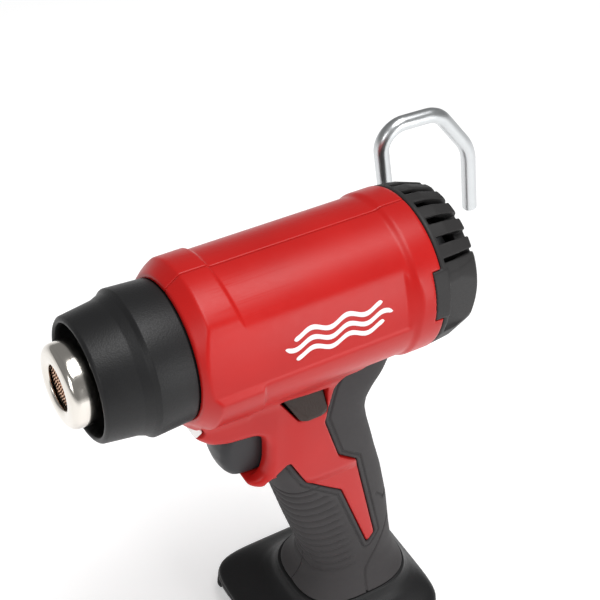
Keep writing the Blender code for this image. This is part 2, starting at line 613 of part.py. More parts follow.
# ------------------------------------------------------------------ rear cap and intake
cap = turned("rear_cap", [
    (-CAP_DEPTH, 0), (-CAP_DEPTH, 23.6), (-CAP_DEPTH + 1.0, 25.0), (-8.5, REAR_BAND_R - 0.4),
    (-GAP, REAR_BAND_R - 0.2), (-GAP, REAR_BAND_R - 2.6), (-8.0, REAR_BAND_R - 3.0), (-CAP_DEPTH + 2.4, 22.6),
    (-CAP_DEPTH + 2.4, 0),
])
PAD_Z = (-10.5, 14.0)
PAD_U = (-CAP_DEPTH, -2.4)
for sign in (1, -1):
    pad = box("pad", (PAD_U[0] + 0.2, CAP_PAD_Y - 7.0, PAD_Z[0] - 2), (-1.2, CAP_PAD_Y + 1.6, PAD_Z[1] + 2))
    pad.data.transform(Matrix.Diagonal((1, sign, 1, 1)))
    trim = turned("trim", [
        (-CAP_DEPTH + 0.2, 0), (-CAP_DEPTH + 0.2, 23.8), (-CAP_DEPTH + 1.0, 24.8), (-8.5, REAR_BAND_R - 0.6),
        (-GAP, REAR_BAND_R - 0.4), (-GAP, 0),
    ])
    cap = join(cap, keep(pad, trim))
    recess = box("recess", (PAD_U[0] - 3, CAP_PAD_Y, PAD_Z[0]), (PAD_U[1], 45, PAD_Z[1]))
    recess.data.transform(Matrix.Diagonal((1, sign, 1, 1)))
    cap = cut(cap, recess)
    angle = CAP_SCREW_ANGLE if sign > 0 else 180 - CAP_SCREW_ANGLE
    y = CAP_SCREW_PCR * math.cos(math.radians(angle))
    z = CAP_SCREW_PCR * math.sin(math.radians(angle))
    cap = join(cap, rod("cap_post", (-CAP_DEPTH + 1.2, y, z), (-0.3, y, z), BOSS_R, 12))
    cap = cut(cap, turned("cap_screw_hole", [
        (-CAP_DEPTH - 2, 0), (-CAP_DEPTH - 2, SCREW_HEAD_R + GAP), (-CAP_DEPTH + 4, SCREW_HEAD_R + GAP),
        (-CAP_DEPTH + 4, SCREW_SHANK_R + GAP), (2, SCREW_SHANK_R + GAP), (2, 0),
    ], centre=(0, y, z), steps=12))
    side = "left" if sign > 0 else "right"
    finish(turned(f"cap_screw_{side}", [
        (-CAP_DEPTH + 1.5, 0), (-CAP_DEPTH + 1.5, SCREW_HEAD_R), (-CAP_DEPTH + 3.7, SCREW_HEAD_R),
        (-CAP_DEPTH + 3.7, SCREW_SHANK_R), (7.4, SCREW_SHANK_R), (8.4, 0),
    ], centre=(0, y, z), steps=12), DARK_STEEL)
hook_in, hook_out = ((HOOK_PIVOT_U, y, HOOK_PIVOT_Z) for y in (-20, -45))
cap = cut(cap, rod("hook_hole", hook_in, hook_out, HOOK_WIRE_R + 0.4))
for step in range(int(360 / SLOT_STEP_DEG)):
    angle = (step + 0.5) * SLOT_STEP_DEG
    sideways = abs(math.cos(math.radians(angle)))
    if sideways > math.cos(math.radians(38)):
        continue
    slot = box("slot", (-CAP_DEPTH + 1.6, -SLOT_WIDTH / 2, 27.0), (-3.4, SLOT_WIDTH / 2, 40.0))
    taper = box("slot_low", (-CAP_DEPTH + 1.6, -SLOT_WIDTH / 2, 19.0), (-11.0, SLOT_WIDTH / 2, 40.0))
    slot = join(slot, taper)
    slot.data.transform(Matrix.Translation(-world(0, 0, 0)))
    slot.data.transform(Matrix.Rotation(math.radians(90 - angle), 4, "X"))
    slot.data.transform(Matrix.Translation(world(0, 0, 0)))
    cap = cut(cap, slot)
finish(rename(cap, "rear_cap"), BLACK)

finish(turned("intake_filter", [
    (-15.6, 15.0), (-15.6, 16.0), (-1.0, 16.0), (-1.0, 15.0),
], steps=20), DARK_STEEL)

# ------------------------------------------------------------------ hook
pivot = (HOOK_PIVOT_U, HOOK_PLANE_Y, HOOK_PIVOT_Z)
hook_corners = [
    (HOOK_PIVOT_U, 10.0 - CAP_PAD_Y, HOOK_PIVOT_Z), (HOOK_PIVOT_U, HOOK_PLANE_Y, HOOK_PIVOT_Z),
    (-19.6, HOOK_PLANE_Y, 4.5), (-13.0, HOOK_PLANE_Y, 38.2), (-41.5, HOOK_PLANE_Y, 37.4),
    (-60.0, HOOK_PLANE_Y, 14.6), (-66.2, HOOK_PLANE_Y, -20.5),
]
hook = wire("hook", rounded_path(hook_corners, 7.0), HOOK_WIRE_R, resolution=2)
finish(rename(hook, "hook"), PLATED, pivot=(HOOK_PIVOT_U, 0, HOOK_PIVOT_Z))
retainer_y = 0.4 + 7.0 - CAP_PAD_Y  # just inside the cap's wall
finish(turned("hook_retainer", [
    (retainer_y, HOOK_WIRE_R + GAP), (retainer_y, HOOK_WIRE_R + 1.5),
    (retainer_y + 1.0, HOOK_WIRE_R + 1.5), (retainer_y + 1.0, HOOK_WIRE_R + GAP),
], centre=(HOOK_PIVOT_U, 0, HOOK_PIVOT_Z), along="Y", steps=16), DARK_STEEL, pivot=(HOOK_PIVOT_U, 0, HOOK_PIVOT_Z))

# ------------------------------------------------------------------ trigger, switch and lock slider
TRIGGER_OUTLINE = [
    (56.5, -49.2), (79.5, -48.9), (82.2, -50.6), (83.4, -54.5), (83.0, -60.5), (81.2, -66), (78.4, -70.6),
    (74.8, -74.2), (71.8, -75.0), (56.5, -75.0),
]
trigger = plate("trigger", TRIGGER_OUTLINE, "XZ", -TRIGGER_HALF_WIDTH, TRIGGER_HALF_WIDTH)
trigger = softened(trigger, 1.6, angle=60)
finish(rename(trigger, "trigger"), TRIGGER_GREY, pivot=(56.5, 0, -62))

SWITCH_U = (29.5, 45.0)
switch = box("switch_body", (SWITCH_U[0], -8, -73), (SWITCH_U[1], 8, -52))
switch = cut(switch, rod("plunger_bore", (SWITCH_U[0] + 3, 0, -62), (SWITCH_U[1] + 2, 0, -62), PLUNGER_R + 0.4))
finish(switch, BLACK, smooth=False)
plunger_in = SWITCH_U[0] + 3 + TRIGGER_TRAVEL + 0.8
finish(rod("switch_plunger", (plunger_in, 0, -62), (56.2, 0, -62), PLUNGER_R), BRASS, pivot=(56.5, 0, -62))

spring_r, spring_turns = 3.9, 3
spring_path = []
for step in range(spring_turns * 10 + 1):
    angle = 2 * math.pi * step / 10
    u = SWITCH_U[1] + 0.9 + (56.5 - SWITCH_U[1] - 1.8) * step / (spring_turns * 10)
    spring_path.append((u, spring_r * math.cos(angle), -62 + spring_r * math.sin(angle)))
finish(wire("trigger_spring", spring_path, 0.5, resolution=1), STEEL)

slider_reach = HANDLE_HALF_WIDTH + 2.2
slider = plate("lock_slider", SLIDER_OUTLINE, "XZ", SLIDER_TRAVEL - slider_reach, slider_reach)
finish(rename(slider, "lock_slider"), BLACK, pivot=(50, 0, -39), smooth=False)

# ------------------------------------------------------------------ lamp and electronics
lens = keep(
    plate("led_lens", LENS_OUTLINE, "XZ", -LENS_HALF_WIDTH, LENS_HALF_WIDTH),
    plate("lens_front", [(80, -20), (97.6, -20), (97.6, -33), (96.9, -36), (94.6, -41), (90, -46), (80, -46)],
          "XZ", -20, 20),
)
finish(rename(lens, "led_lens"), LENS, smooth=False)
finish(box("led_board", (87.9, -6.5, -44.0), (89.1, 6.5, -31.5)), BOARD, smooth=False)
finish(box("control_board", (13.0, -0.8, -118), (39.0, 0.8, -92)), BOARD, smooth=False)
sink = box("heat_sink", (17.0, 1.1, -113), (35.0, 3.0, -97))
for fin in range(4):
    low = -112.4 + fin * 4.4
    sink = join(sink, box("fin", (17.4, 2.0, low), (34.6, 9.0, low + 1.6)))
finish(rename(sink, "heat_sink"), ALUMINIUM, smooth=False)

# ------------------------------------------------------------------ battery foot
FLOOR = -AXIS_Z
foot_top = FLOOR + FOOT_HEIGHT
middle = (FOOT_REAR_U + FOOT_FRONT_U) / 2
foot = loft("foot_shell", [
    (FLOOR, FOOT_REAR_U + 2.0, FOOT_FRONT_U - 2.0, FOOT_HALF_WIDTH - 1.0, 7.0),
    (FLOOR + 3.0, FOOT_REAR_U, FOOT_FRONT_U, FOOT_HALF_WIDTH, 7.0),
    (foot_top, FOOT_REAR_U, FOOT_FRONT_U, FOOT_HALF_WIDTH, 6.0),
    (foot_top + 3.0, FOOT_REAR_U + 2.0, FOOT_FRONT_U - 6.0, FOOT_HALF_WIDTH - 3.5, 5.0),
    (foot_top + 7.0, -20.0, 49.0, NECK_HALF_WIDTH + 5.0, 3.6),
    (NECK_Z - GAP, -15.0, 41.0, NECK_HALF_WIDTH, 2.8),
])
roof = FLOOR + CHANNEL_HEIGHT
foot = cut(
    foot,
    box("channel", (FOOT_REAR_U + 6.0, -CHANNEL_HALF_WIDTH, FLOOR - 5), (FOOT_FRONT_U + 5, CHANNEL_HALF_WIDTH, roof)),
    loft("neck_hole", [
        (-182.0, SPIGOT_SECTIONS[0][1], SPIGOT_SECTIONS[0][2], SPIGOT_SECTIONS[0][3], 2.6),
        SPIGOT_SECTIONS[1],
    ], inset=-0.4),
    box("lead_hole", (0, -7, -195), (14, 7, -180)),
)
for sign in (1, -1):
    notch = box("latch_notch", (34.0, CHANNEL_HALF_WIDTH - 1, FLOOR + 2.5), (42.0, CHANNEL_HALF_WIDTH + 3, roof - 2))
    notch.data.transform(Matrix.Diagonal((1, sign, 1, 1)))
    foot = cut(foot, notch)
finish(rename(foot, "foot_shell"), BLACK)

for sign, side in ((1, "left"), (-1, "right")):
    web_y = CHANNEL_HALF_WIDTH - GAP
    section = [
        (web_y, FLOOR + 0.2), (web_y, roof - GAP), (web_y - 1.5, roof - GAP), (web_y - 1.5, FLOOR + 2.2),
        (web_y - 6.0, FLOOR + 2.2), (web_y - 6.0, FLOOR + 0.2),
    ]
    if sign < 0:
        section = [(-y, z) for y, z in section]
    rail = plate(f"{side}_rail", section, "YZ", FOOT_REAR_U + 8.0, FOOT_FRONT_U - 4.0)
    finish(rail, DARK_STEEL, smooth=False)

BLOCK_U = (FOOT_REAR_U + 6.4, 42.0)
SLOT_Y = (-8.4, 0.0, 8.4)
block = box("terminal_block", (BLOCK_U[0], -BLOCK_HALF_WIDTH, FLOOR), (BLOCK_U[1], BLOCK_HALF_WIDTH, roof - GAP))
for y in SLOT_Y:
    block = cut(block, box("contact_slot", (24.0, y - 1.7, FLOOR - 3), (BLOCK_U[1] + 2, y + 1.7, roof - 2.4)))
finish(rename(block, "terminal_block"), BLACK, smooth=False)
for name, y in zip(("negative_blade", "data_blade", "positive_blade"), SLOT_Y):
    half = BLADE_THICKNESS / 2
    finish(box(name, (24.4, y - half, FLOOR + 1.2), (39.0, y + half, roof - 2.8)), BRASS, smooth=False)

for name, look, y in (("positive_lead", RED_LEAD, 4.0), ("negative_lead", BLACK, -4.0)):
    route = [(7.0, y, -189.2), (7.0, y, -178.0), (11.0, y, -160.0), (15.0, y, -140.0), (19.0, y, -119.2)]
    finish(wire(name, rounded_path(route, 12.0, steps=3), 1.3, resolution=1), look)
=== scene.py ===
# %% [markdown]
# # A battery heat gun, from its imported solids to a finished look
#
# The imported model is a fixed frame: it says where every part sits and how it moves. This notebook
# dresses that frame. Moulded shells are worked out as distance fields and turned into meshes, round
# metal parts are lathed, bent wire is a curve, and every finish is made of shader nodes. All lengths
# below are millimetres in the tool's own coordinates: u runs forward from the seam between housing and
# rear cap, y to the tool's left, z up from the barrel's axis.

# %% Load the frame
import json
import math

import bmesh
import bpy
import numpy as np
from mathutils import Matrix, Vector

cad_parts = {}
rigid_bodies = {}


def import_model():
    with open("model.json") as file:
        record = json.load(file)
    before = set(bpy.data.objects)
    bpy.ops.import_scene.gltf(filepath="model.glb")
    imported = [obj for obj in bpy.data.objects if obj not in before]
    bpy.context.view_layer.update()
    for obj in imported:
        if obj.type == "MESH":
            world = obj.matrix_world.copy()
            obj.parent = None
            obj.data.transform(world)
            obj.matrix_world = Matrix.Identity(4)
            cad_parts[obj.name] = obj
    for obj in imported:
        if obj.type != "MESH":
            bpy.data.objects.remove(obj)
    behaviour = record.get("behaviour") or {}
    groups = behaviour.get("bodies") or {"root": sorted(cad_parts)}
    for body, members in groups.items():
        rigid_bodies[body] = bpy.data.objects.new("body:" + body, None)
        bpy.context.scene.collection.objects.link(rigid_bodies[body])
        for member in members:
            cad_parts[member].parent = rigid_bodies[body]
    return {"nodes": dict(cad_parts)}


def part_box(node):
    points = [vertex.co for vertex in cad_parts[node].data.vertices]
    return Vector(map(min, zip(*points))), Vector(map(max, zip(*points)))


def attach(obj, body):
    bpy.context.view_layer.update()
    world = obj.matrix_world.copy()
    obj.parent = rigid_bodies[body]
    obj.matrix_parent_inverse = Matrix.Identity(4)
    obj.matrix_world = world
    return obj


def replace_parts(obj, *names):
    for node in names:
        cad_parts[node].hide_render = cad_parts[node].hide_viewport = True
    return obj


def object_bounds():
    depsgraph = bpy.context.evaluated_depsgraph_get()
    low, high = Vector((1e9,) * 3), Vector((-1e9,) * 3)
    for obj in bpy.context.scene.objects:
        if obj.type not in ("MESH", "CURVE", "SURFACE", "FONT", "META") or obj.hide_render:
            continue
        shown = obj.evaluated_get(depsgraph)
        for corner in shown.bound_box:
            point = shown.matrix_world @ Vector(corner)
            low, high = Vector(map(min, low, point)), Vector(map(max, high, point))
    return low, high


for leftover in list(bpy.data.objects):
    bpy.data.objects.remove(leftover, do_unlink=True)
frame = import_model()
NODES = frame["nodes"]
cad_box = [list(corner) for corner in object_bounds()]
print("CAD box in millimetres:", [[round(v * 1000, 1) for v in corner] for corner in cad_box])

# %% [markdown]
# The barrel's axis and the seam are read from the frame, so that the looks follow the solids if they
# move. The rear cap stops a hair short of the seam, and the nozzle tube is centred on the axis.

# %% Millimetre coordinates
MM = 0.001
SEAM_GAP = 0.3
SEAM_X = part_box("rear_cap")[1].x + SEAM_GAP * MM
tube_low, tube_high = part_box("nozzle_tube")
AXIS_Z = (tube_low.z + tube_high.z) / 2


def place(u, y, z):
    """A point of the tool's own coordinates, in metres in the frame."""
    return Vector((SEAM_X + u * MM, y * MM, AXIS_Z + z * MM))


def span(node):
    """A solid's lowest and highest corner in the tool's own coordinates."""
    low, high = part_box(node)
    return [((c.x - SEAM_X) / MM, c.y / MM, (c.z - AXIS_Z) / MM) for c in (low, high)]


print("seam at x =", round(SEAM_X, 4), " axis at z =", round(AXIS_Z, 4))

# %% [markdown]
# ## The view
#
# The tool is seen from its front left, from well above. The camera's turn, height and roll are three
# angles, and it looks at a point of the barrel's axis. A long lens keeps the perspective mild, as in a
# product picture.

# %% Camera
VIEW_AZIMUTH, VIEW_ELEVATION, VIEW_ROLL = 147.754, 41.116, 2.749
VIEW_TARGET = place(49.9, 0, 0)
VIEW_DISTANCE = 0.5353
VIEW_LENS = 84.58


def view_axes(azimuth, elevation, roll):
    a, e, r = (math.radians(v) for v in (azimuth, elevation, roll))
    back = Vector((math.sin(a) * math.cos(e), -math.cos(a) * math.cos(e), math.sin(e)))
    level = (-back).cross(Vector((0, 0, 1))).normalized()
    upright = level.cross(-back)
    right = level * math.cos(r) + upright * math.sin(r)
    up = upright * math.cos(r) - level * math.sin(r)
    return right, up, back


right, up, back = view_axes(VIEW_AZIMUTH, VIEW_ELEVATION, VIEW_ROLL)
camera_data = bpy.data.cameras.new("view")
camera_data.lens = VIEW_LENS
camera_data.sensor_width = 36.0
camera_data.shift_x = 0.0224
camera_data.shift_y = 0.0100
camera_data.clip_start = 0.01
camera = bpy.data.objects.new("view", camera_data)
turn = Matrix((right, up, back)).transposed().to_4x4()
camera.matrix_world = Matrix.Translation(VIEW_TARGET + back * VIEW_DISTANCE) @ turn
bpy.context.scene.collection.objects.link(camera)
bpy.context.scene.camera = camera
print("camera at", [round(v, 4) for v in camera.matrix_world.translation])

# %% [markdown]
# ## Shader maths that reads like arithmetic
#
# A shader is a web of small nodes, and wiring each one by hand hides the idea. `Signal` wraps one
# output socket and overloads the usual operators, so `1 - mask` adds the Math node it needs. `Finish`
# holds one material: its constant numbers go straight onto the shader's own sockets, and only what
# varies over the surface is linked.

# %% Signals and finishes
class Signal:
    def __init__(self, finish, socket):
        self.finish = finish
        self.socket = socket

    def _with(self, operation, first, second):
        return self.finish.node("ShaderNodeMath", {"operation": operation}, (first, second))

    def __add__(self, other):
        return self._with("ADD", self, other)

    def __mul__(self, other):
        return self._with("MULTIPLY", self, other)


class Finish:
    def __init__(self, name, colour, roughness, **constants):
        self.material = bpy.data.materials.new(name)
        self.material.use_nodes = True
        self.tree = self.material.node_tree
        self.shader = self.tree.nodes["Principled BSDF"]
        self.set("Base Color", (*colour, 1.0))
        self.set("Roughness", roughness)
        for key, value in constants.items():
            self.set(key.replace("_", " "), value)
        self.material.diffuse_color = (*colour, 1.0)

    def set(self, name, value):
        """A link if the value varies over the surface, or else a number on the shader's own socket."""
        socket = self.shader.inputs[name]
        if isinstance(value, Signal):
            self.tree.links.new(value.socket, socket)
        else:
            socket.default_value = value

    def node(self, kind, settings, inputs, output=0):
        made = self.tree.nodes.new(kind)
        for key, value in settings.items():
            setattr(made, key, value)
        pairs = inputs.items() if isinstance(inputs, dict) else enumerate(inputs)
        for key, value in pairs:
            if isinstance(value, Signal):
                self.tree.links.new(value.socket, made.inputs[key])
            else:
                made.inputs[key].default_value = value
        return Signal(self, made.outputs[output])

    def position(self):
        return self.node("ShaderNodeTexCoord", {}, (), "Object")

    def stretched(self, along):
        return self.node("ShaderNodeVectorMath", {"operation": "MULTIPLY"}, (self.position(), along))

    def noise(self, scale, detail=2.0, roughness=0.5, where=None):
        """Smooth random numbers round 0.5; the scale is in waves per metre."""
        where = where or self.position()
        settings = {"Vector": where, "Scale": scale, "Detail": detail, "Roughness": roughness}
        return self.node("ShaderNodeTexNoise", {}, settings)

    def cells(self, scale, where=None):
        where = where or self.position()
        return self.node("ShaderNodeTexVoronoi", {"feature": "F1"}, {"Vector": where, "Scale": scale})

    def mixed(self, factor, dark, light):
        """One colour to another by a factor."""
        made = {6: (*dark, 1.0), 7: (*light, 1.0), 0: factor}
        return self.node("ShaderNodeMix", {"data_type": "RGBA"}, made, 2)

    def bump(self, height, depth_mm):
        settings = {"Height": height, "Distance": depth_mm * MM, "Strength": 1.0}
        self.set("Normal", self.node("ShaderNodeBump", {}, settings))


print("shader helpers ready")

# %% [markdown]
# ## Moulded shapes as distance fields
#
# A plastic moulding is soft everywhere: edges are rounded and walls flow into each other. Box modelling
# can make that with many control loops, but a distance field gives it for free. For every point of a
# grid it holds how far the point is outside the shape. The smaller of two fields is a union, the larger
# of one and the other's negative is a cut, and a soft smaller-of rounds the joint between them like a
# fillet.

# %% Fields
class Field:
    """A grid of sample points in tool millimetres, and the shapes that are measured on it."""

    def __init__(self, low, high, step):
        self.step = step
        self.low = np.array(low, float)
        self.axes = [np.arange(a, b + step, step, dtype=np.float32) for a, b in zip(low, high)]
        self.u = self.axes[0][:, None, None]
        self.y = self.axes[1][None, :, None]
        self.z = self.axes[2][None, None, :]

    def shape(self):
        return tuple(len(axis) for axis in self.axes)

    def block(self, low, high):
        """A box."""
        sides = [np.maximum(a - p, p - b) for p, a, b in zip((self.u, self.y, self.z), low, high)]
        return np.maximum(np.maximum(sides[0], sides[1]), sides[2])

    def along_x(self, radius, start, end, y=0.0, z=0.0):
        around = np.sqrt((self.y - y) ** 2 + (self.z - z) ** 2) - radius
        return np.maximum(around, np.maximum(start - self.u, self.u - end))

    def along_y(self, radius, start, end, u, z):
        around = np.sqrt((self.u - u) ** 2 + (self.z - z) ** 2) - radius
        return np.maximum(around, np.maximum(start - self.y, self.y - end))

    def outline(self, points, soft=0.0):
        """Distance from an outline in the side view; soft rounds its corners."""
        flat = outline_distance(self.u[:, 0, :], self.z[:, 0, :], points)
        if soft:
            flat = blurred(flat, max(1, round(soft / self.step)))
        return flat[:, None, :]

    def handle(self, sections, inset=0.0):
        """Distance from a stack of rounded level sections: z, rear u, front u, half width, squareness."""
        table = np.array(sections, dtype=np.float32)
        level = np.arange(table[0, 0] - 6, table[-1, 0] + 6, 0.5)
        mean = np.ones(9) / 9
        columns = []
        for k in (1, 2, 3, 4):
            smooth = np.convolve(np.interp(level, table[:, 0], table[:, k]), mean, "same")
            columns.append(np.interp(self.z[0, 0], level, smooth)[None, None, :])
        rear, front, half, square = columns
        reach, half = (front - rear) / 2 - inset, half - inset
        a = np.abs(self.u - (front + rear) / 2) / reach + 1e-6
        b = np.abs(self.y) / half + 1e-6
        size = (a ** square + b ** square) ** (1 / square)
        steepness = np.sqrt((a ** (square - 1) / reach) ** 2 + (b ** (square - 1) / half) ** 2)
        slope = size ** (1 - square) * steepness
        level = (size - 1) / np.maximum(slope, 1e-3)
        return np.maximum(level, np.maximum(table[0, 0] - self.z, self.z - table[-1, 0]))


def outline_distance(u, z, points):
    distance = np.full(np.broadcast(u, z).shape, 1e9, np.float32)
    inside = np.zeros(distance.shape, bool)
    for (u0, z0), (u1, z1) in zip(points, points[1:] + points[:1]):
        du, dz = u1 - u0, z1 - z0
        t = np.clip(((u - u0) * du + (z - z0) * dz) / (du * du + dz * dz), 0, 1)
        distance = np.minimum(distance, (u - u0 - t * du) ** 2 + (z - z0 - t * dz) ** 2)
        crossed = ((z0 > z) != (z1 > z)) & (u < u0 + (z - z0) * du / (dz if dz else 1e-9))
        inside ^= crossed
    return np.where(inside, -1, 1) * np.sqrt(distance)


def line_distance(u, z, points):
    """Distance from an open line of points in the side view."""
    distance = np.full(np.broadcast(u, z).shape, 1e9, np.float32)
    for (u0, z0), (u1, z1) in zip(points, points[1:]):
        du, dz = u1 - u0, z1 - z0
        t = np.clip(((u - u0) * du + (z - z0) * dz) / (du * du + dz * dz), 0, 1)
        distance = np.minimum(distance, (u - u0 - t * du) ** 2 + (z - z0 - t * dz) ** 2)
    return np.sqrt(distance)


def blurred(flat, reach):
    """A running mean along both axes, twice, which rounds the corners of a distance map."""
    for axis in (0, 1, 0, 1):
        padded = np.concatenate([np.repeat(np.take(flat, [0], axis), reach + 1, axis), flat,
                                 np.repeat(np.take(flat, [-1], axis), reach, axis)], axis)
        total = np.cumsum(padded, axis, dtype=np.float64)
        count = flat.shape[axis]
        ahead = np.take(total, range(2 * reach + 1, 2 * reach + 1 + count), axis)
        behind = np.take(total, range(0, count), axis)
        flat = ((ahead - behind) / (2 * reach + 1)).astype(np.float32)
    return flat


def union(a, b, soft=0.0):
    if not soft:
        return np.minimum(a, b)
    share = np.clip(0.5 + 0.5 * (b - a) / soft, 0, 1)
    return b + (a - b) * share - soft * share * (1 - share)


def overlap(a, b, soft=0.0):
    return -union(-a, -b, soft)


def minus(a, b, soft=0.0):
    return -union(-a, b, soft)


def ramp_up(value, start, end):
    t = np.clip((value - start) / (end - start), 0, 1)
    return t * t * (3 - 2 * t)


print("field helpers ready")

# %% [markdown]
# A mesh is drawn through the field where it is zero. Every grid cell that the surface crosses gets one
# vertex, and every grid edge that it crosses gets one quad between its four cells. That leaves small
# steps, so each vertex is moved towards its neighbours and then back onto the surface along the field's
# slope, three times.

# %% From field to mesh
CORNERS = np.array([(i, j, k) for i in (0, 1) for j in (0, 1) for k in (0, 1)])
EDGES = [(a, b) for a in range(8) for b in range(a + 1, 8) if np.abs(CORNERS[a] - CORNERS[b]).sum() == 1]


def sampled(values, points):
    """The field between its grid points; points are in grid steps."""
    limit = np.array(values.shape) - 2
    cell = np.clip(np.floor(points).astype(int), 0, limit)
    share = points - cell
    total = np.zeros(len(points))
    for corner in CORNERS:
        weight = np.prod(np.where(corner, share, 1 - share), axis=1)
        total += weight * values[tuple((cell + corner).T)]
    return total


def net(values):
    """Vertices in grid steps, and quads, where the field is zero."""
    inside = values < 0
    wide, deep, tall = (size - 1 for size in inside.shape)
    count = sum(inside[i:wide + i, j:deep + j, k:tall + k].astype(np.int8) for i, j, k in CORNERS)
    cells = np.argwhere((count > 0) & (count < 8))
    total, hits = np.zeros((len(cells), 3)), np.zeros(len(cells))
    for a, b in EDGES:
        first, second = values[tuple((cells + CORNERS[a]).T)], values[tuple((cells + CORNERS[b]).T)]
        crossed = (first < 0) != (second < 0)
        share = first[crossed] / (first[crossed] - second[crossed])
        total[crossed] += CORNERS[a] + share[:, None] * (CORNERS[b] - CORNERS[a])
        hits[crossed] += 1
    number = np.full(count.shape, -1, np.int64)
    number[tuple(cells.T)] = np.arange(len(cells))
    quads = []
    for axis in range(3):
        other = [k for k in range(3) if k != axis]
        ahead = np.take(inside, range(1, inside.shape[axis]), axis)
        here = np.take(inside, range(0, inside.shape[axis] - 1), axis)
        crossing = np.argwhere(ahead != here)
        crossing = crossing[(crossing[:, other[0]] > 0) & (crossing[:, other[1]] > 0)]
        crossing = crossing[(crossing[:, other[0]] < inside.shape[other[0]] - 1)]
        crossing = crossing[(crossing[:, other[1]] < inside.shape[other[1]] - 1)]
        one, two = np.eye(3, dtype=int)[other[0]], np.eye(3, dtype=int)[other[1]]
        ring = [number[tuple((crossing - shift).T)] for shift in (0 * one, one, one + two, two)]
        ring = np.stack(ring, axis=1)
        outward = here[tuple(crossing.T)] ^ (axis == 1)
        quads.append(np.where(outward[:, None], ring, ring[:, ::-1]))
    return cells + total / np.maximum(hits, 1)[:, None], np.concatenate(quads)


def relaxed(values, points, quads, rounds=3):
    ends = np.concatenate([quads[:, [0, 1]], quads[:, [1, 2]], quads[:, [2, 3]], quads[:, [3, 0]]])
    degree = np.bincount(ends[:, 0], minlength=len(points)) + np.bincount(ends[:, 1], minlength=len(points))
    for _ in range(rounds):
        near = [np.bincount(ends[:, 0], points[ends[:, 1], k], len(points))
                + np.bincount(ends[:, 1], points[ends[:, 0], k], len(points)) for k in range(3)]
        mean = np.stack(near, axis=1)
        points = 0.5 * points + 0.5 * mean / degree[:, None]
        reach = np.eye(3) * 0.5
        slope = np.stack([sampled(values, points + r) - sampled(values, points - r) for r in reach], axis=1)
        size = np.maximum((slope ** 2).sum(axis=1), 0.05)
        move = (sampled(values, points) / size)[:, None] * slope
        points = points - np.clip(move, -0.4, 0.4)
    return points


def moulded(name, field, values, flip=False, thin=None, seam=None):
    """The field's zero surface as an object.

    flip mirrors it across y, thin is the share of faces kept, and vertices close to y = seam are put on it.
    """
    values = np.broadcast_to(values, field.shape()).astype(np.float32).copy()
    for axis in range(3):
        for end in (0, -1):
            rim = [slice(None)] * 3
            rim[axis] = end
            values[tuple(rim)] = np.maximum(values[tuple(rim)], 0.01)
    points, quads = net(values)
    points = relaxed(values, points, quads) * field.step + field.low
    if seam is not None:
        points[np.abs(points[:, 1] - seam) < 0.3 * field.step, 1] = seam
    if flip:
        points[:, 1] *= -1
        quads = quads[:, ::-1]
    mesh = bpy.data.meshes.new(name)
    mesh.vertices.add(len(points))
    mesh.vertices.foreach_set("co", (points * MM + np.array(place(0, 0, 0))).astype(np.float32).ravel())
    mesh.loops.add(quads.size)
    mesh.loops.foreach_set("vertex_index", quads.astype(np.int32).ravel())
    mesh.polygons.add(len(quads))
    mesh.polygons.foreach_set("loop_start", np.arange(0, quads.size, 4, dtype=np.int32))
    mesh.update(calc_edges=True)
    mesh.validate()
    piece = bpy.data.objects.new(name, mesh)
    bpy.context.scene.collection.objects.link(piece)
    if thin:
        modifier = piece.modifiers.new("thin", "DECIMATE")
        modifier.ratio = thin
        applied(piece)
    piece.data.shade_smooth()
    print(name, len(piece.data.vertices), "vertices,", len(piece.data.polygons), "faces")
    return piece


def applied(piece):
    """The piece with its modifiers turned into plain mesh."""
    bpy.context.view_layer.update()
    graph = bpy.context.evaluated_depsgraph_get()
    mesh = bpy.data.meshes.new_from_object(piece.evaluated_get(graph))
    piece.modifiers.clear()
    old = piece.data
    piece.data = mesh
    bpy.data.meshes.remove(old)
    mesh.name = piece.name
    return piece


FINE = 1.0  # a quick try uses a coarser grid
print("grid factor", FINE)

# %% [markdown]
# ## Finishes
#
# The housing is glass-filled nylon, moulded red right through: satin, with a faint spark-eroded grain
# that breaks up the gloss. The grain is a fine noise in the bump, and a slower noise makes the gloss
# uneven, as handling does.

# %% Housing plastic
red = Finish("red_nylon", (0.50, 0.012, 0.010), 0.34, Specular_IOR_Level=0.26)
grain = red.noise(2600, 2.0)
patches = red.noise(38, 3.0)
red.set("Base Color", red.mixed(patches, (0.43, 0.008, 0.007), (0.53, 0.012, 0.010)))
red.set("Roughness", red.noise(420, 2.0) * 0.10 + (patches * 0.08 + 0.26))
red.bump(grain + red.noise(900) * 0.5, 0.012)
print("housing plastic ready")

# %% [markdown]
# The shroud, cap and foot are black nylon with a coarser leathery grain. Small cells give that pebbled
# look, and the cells' edges are a little rougher than their tops.

# %% Black plastics
def pebbled(name, colour, roughness, depth, scale=1500):
    finish = Finish(name, colour, roughness, Specular_IOR_Level=0.24)
    pebbles = finish.cells(scale)
    drift = finish.noise(45, 3.0)
    light = tuple(min(1.0, c * 1.35 + 0.004) for c in colour)
    finish.set("Base Color", finish.mixed(drift, colour, light))
    finish.set("Roughness", pebbles * 0.12 + (drift * 0.10 + (roughness - 0.10)))
    finish.bump(pebbles + finish.noise(scale * 1.6) * 0.6, depth)
    return finish


black = pebbled("black_nylon", (0.0095, 0.0095, 0.010), 0.42, 0.030)
cap_black = pebbled("cap_nylon", (0.020, 0.019, 0.019), 0.48, 0.022)
slider_brown = pebbled("slider_nylon", (0.030, 0.019, 0.015), 0.46, 0.05, 1100)
trigger_grey = pebbled("trigger_nylon", (0.020, 0.020, 0.022), 0.34, 0.012, 2200)
plain_black = pebbled("inner_nylon", (0.02, 0.02, 0.02), 0.6, 0.02)
print("black plastics ready")

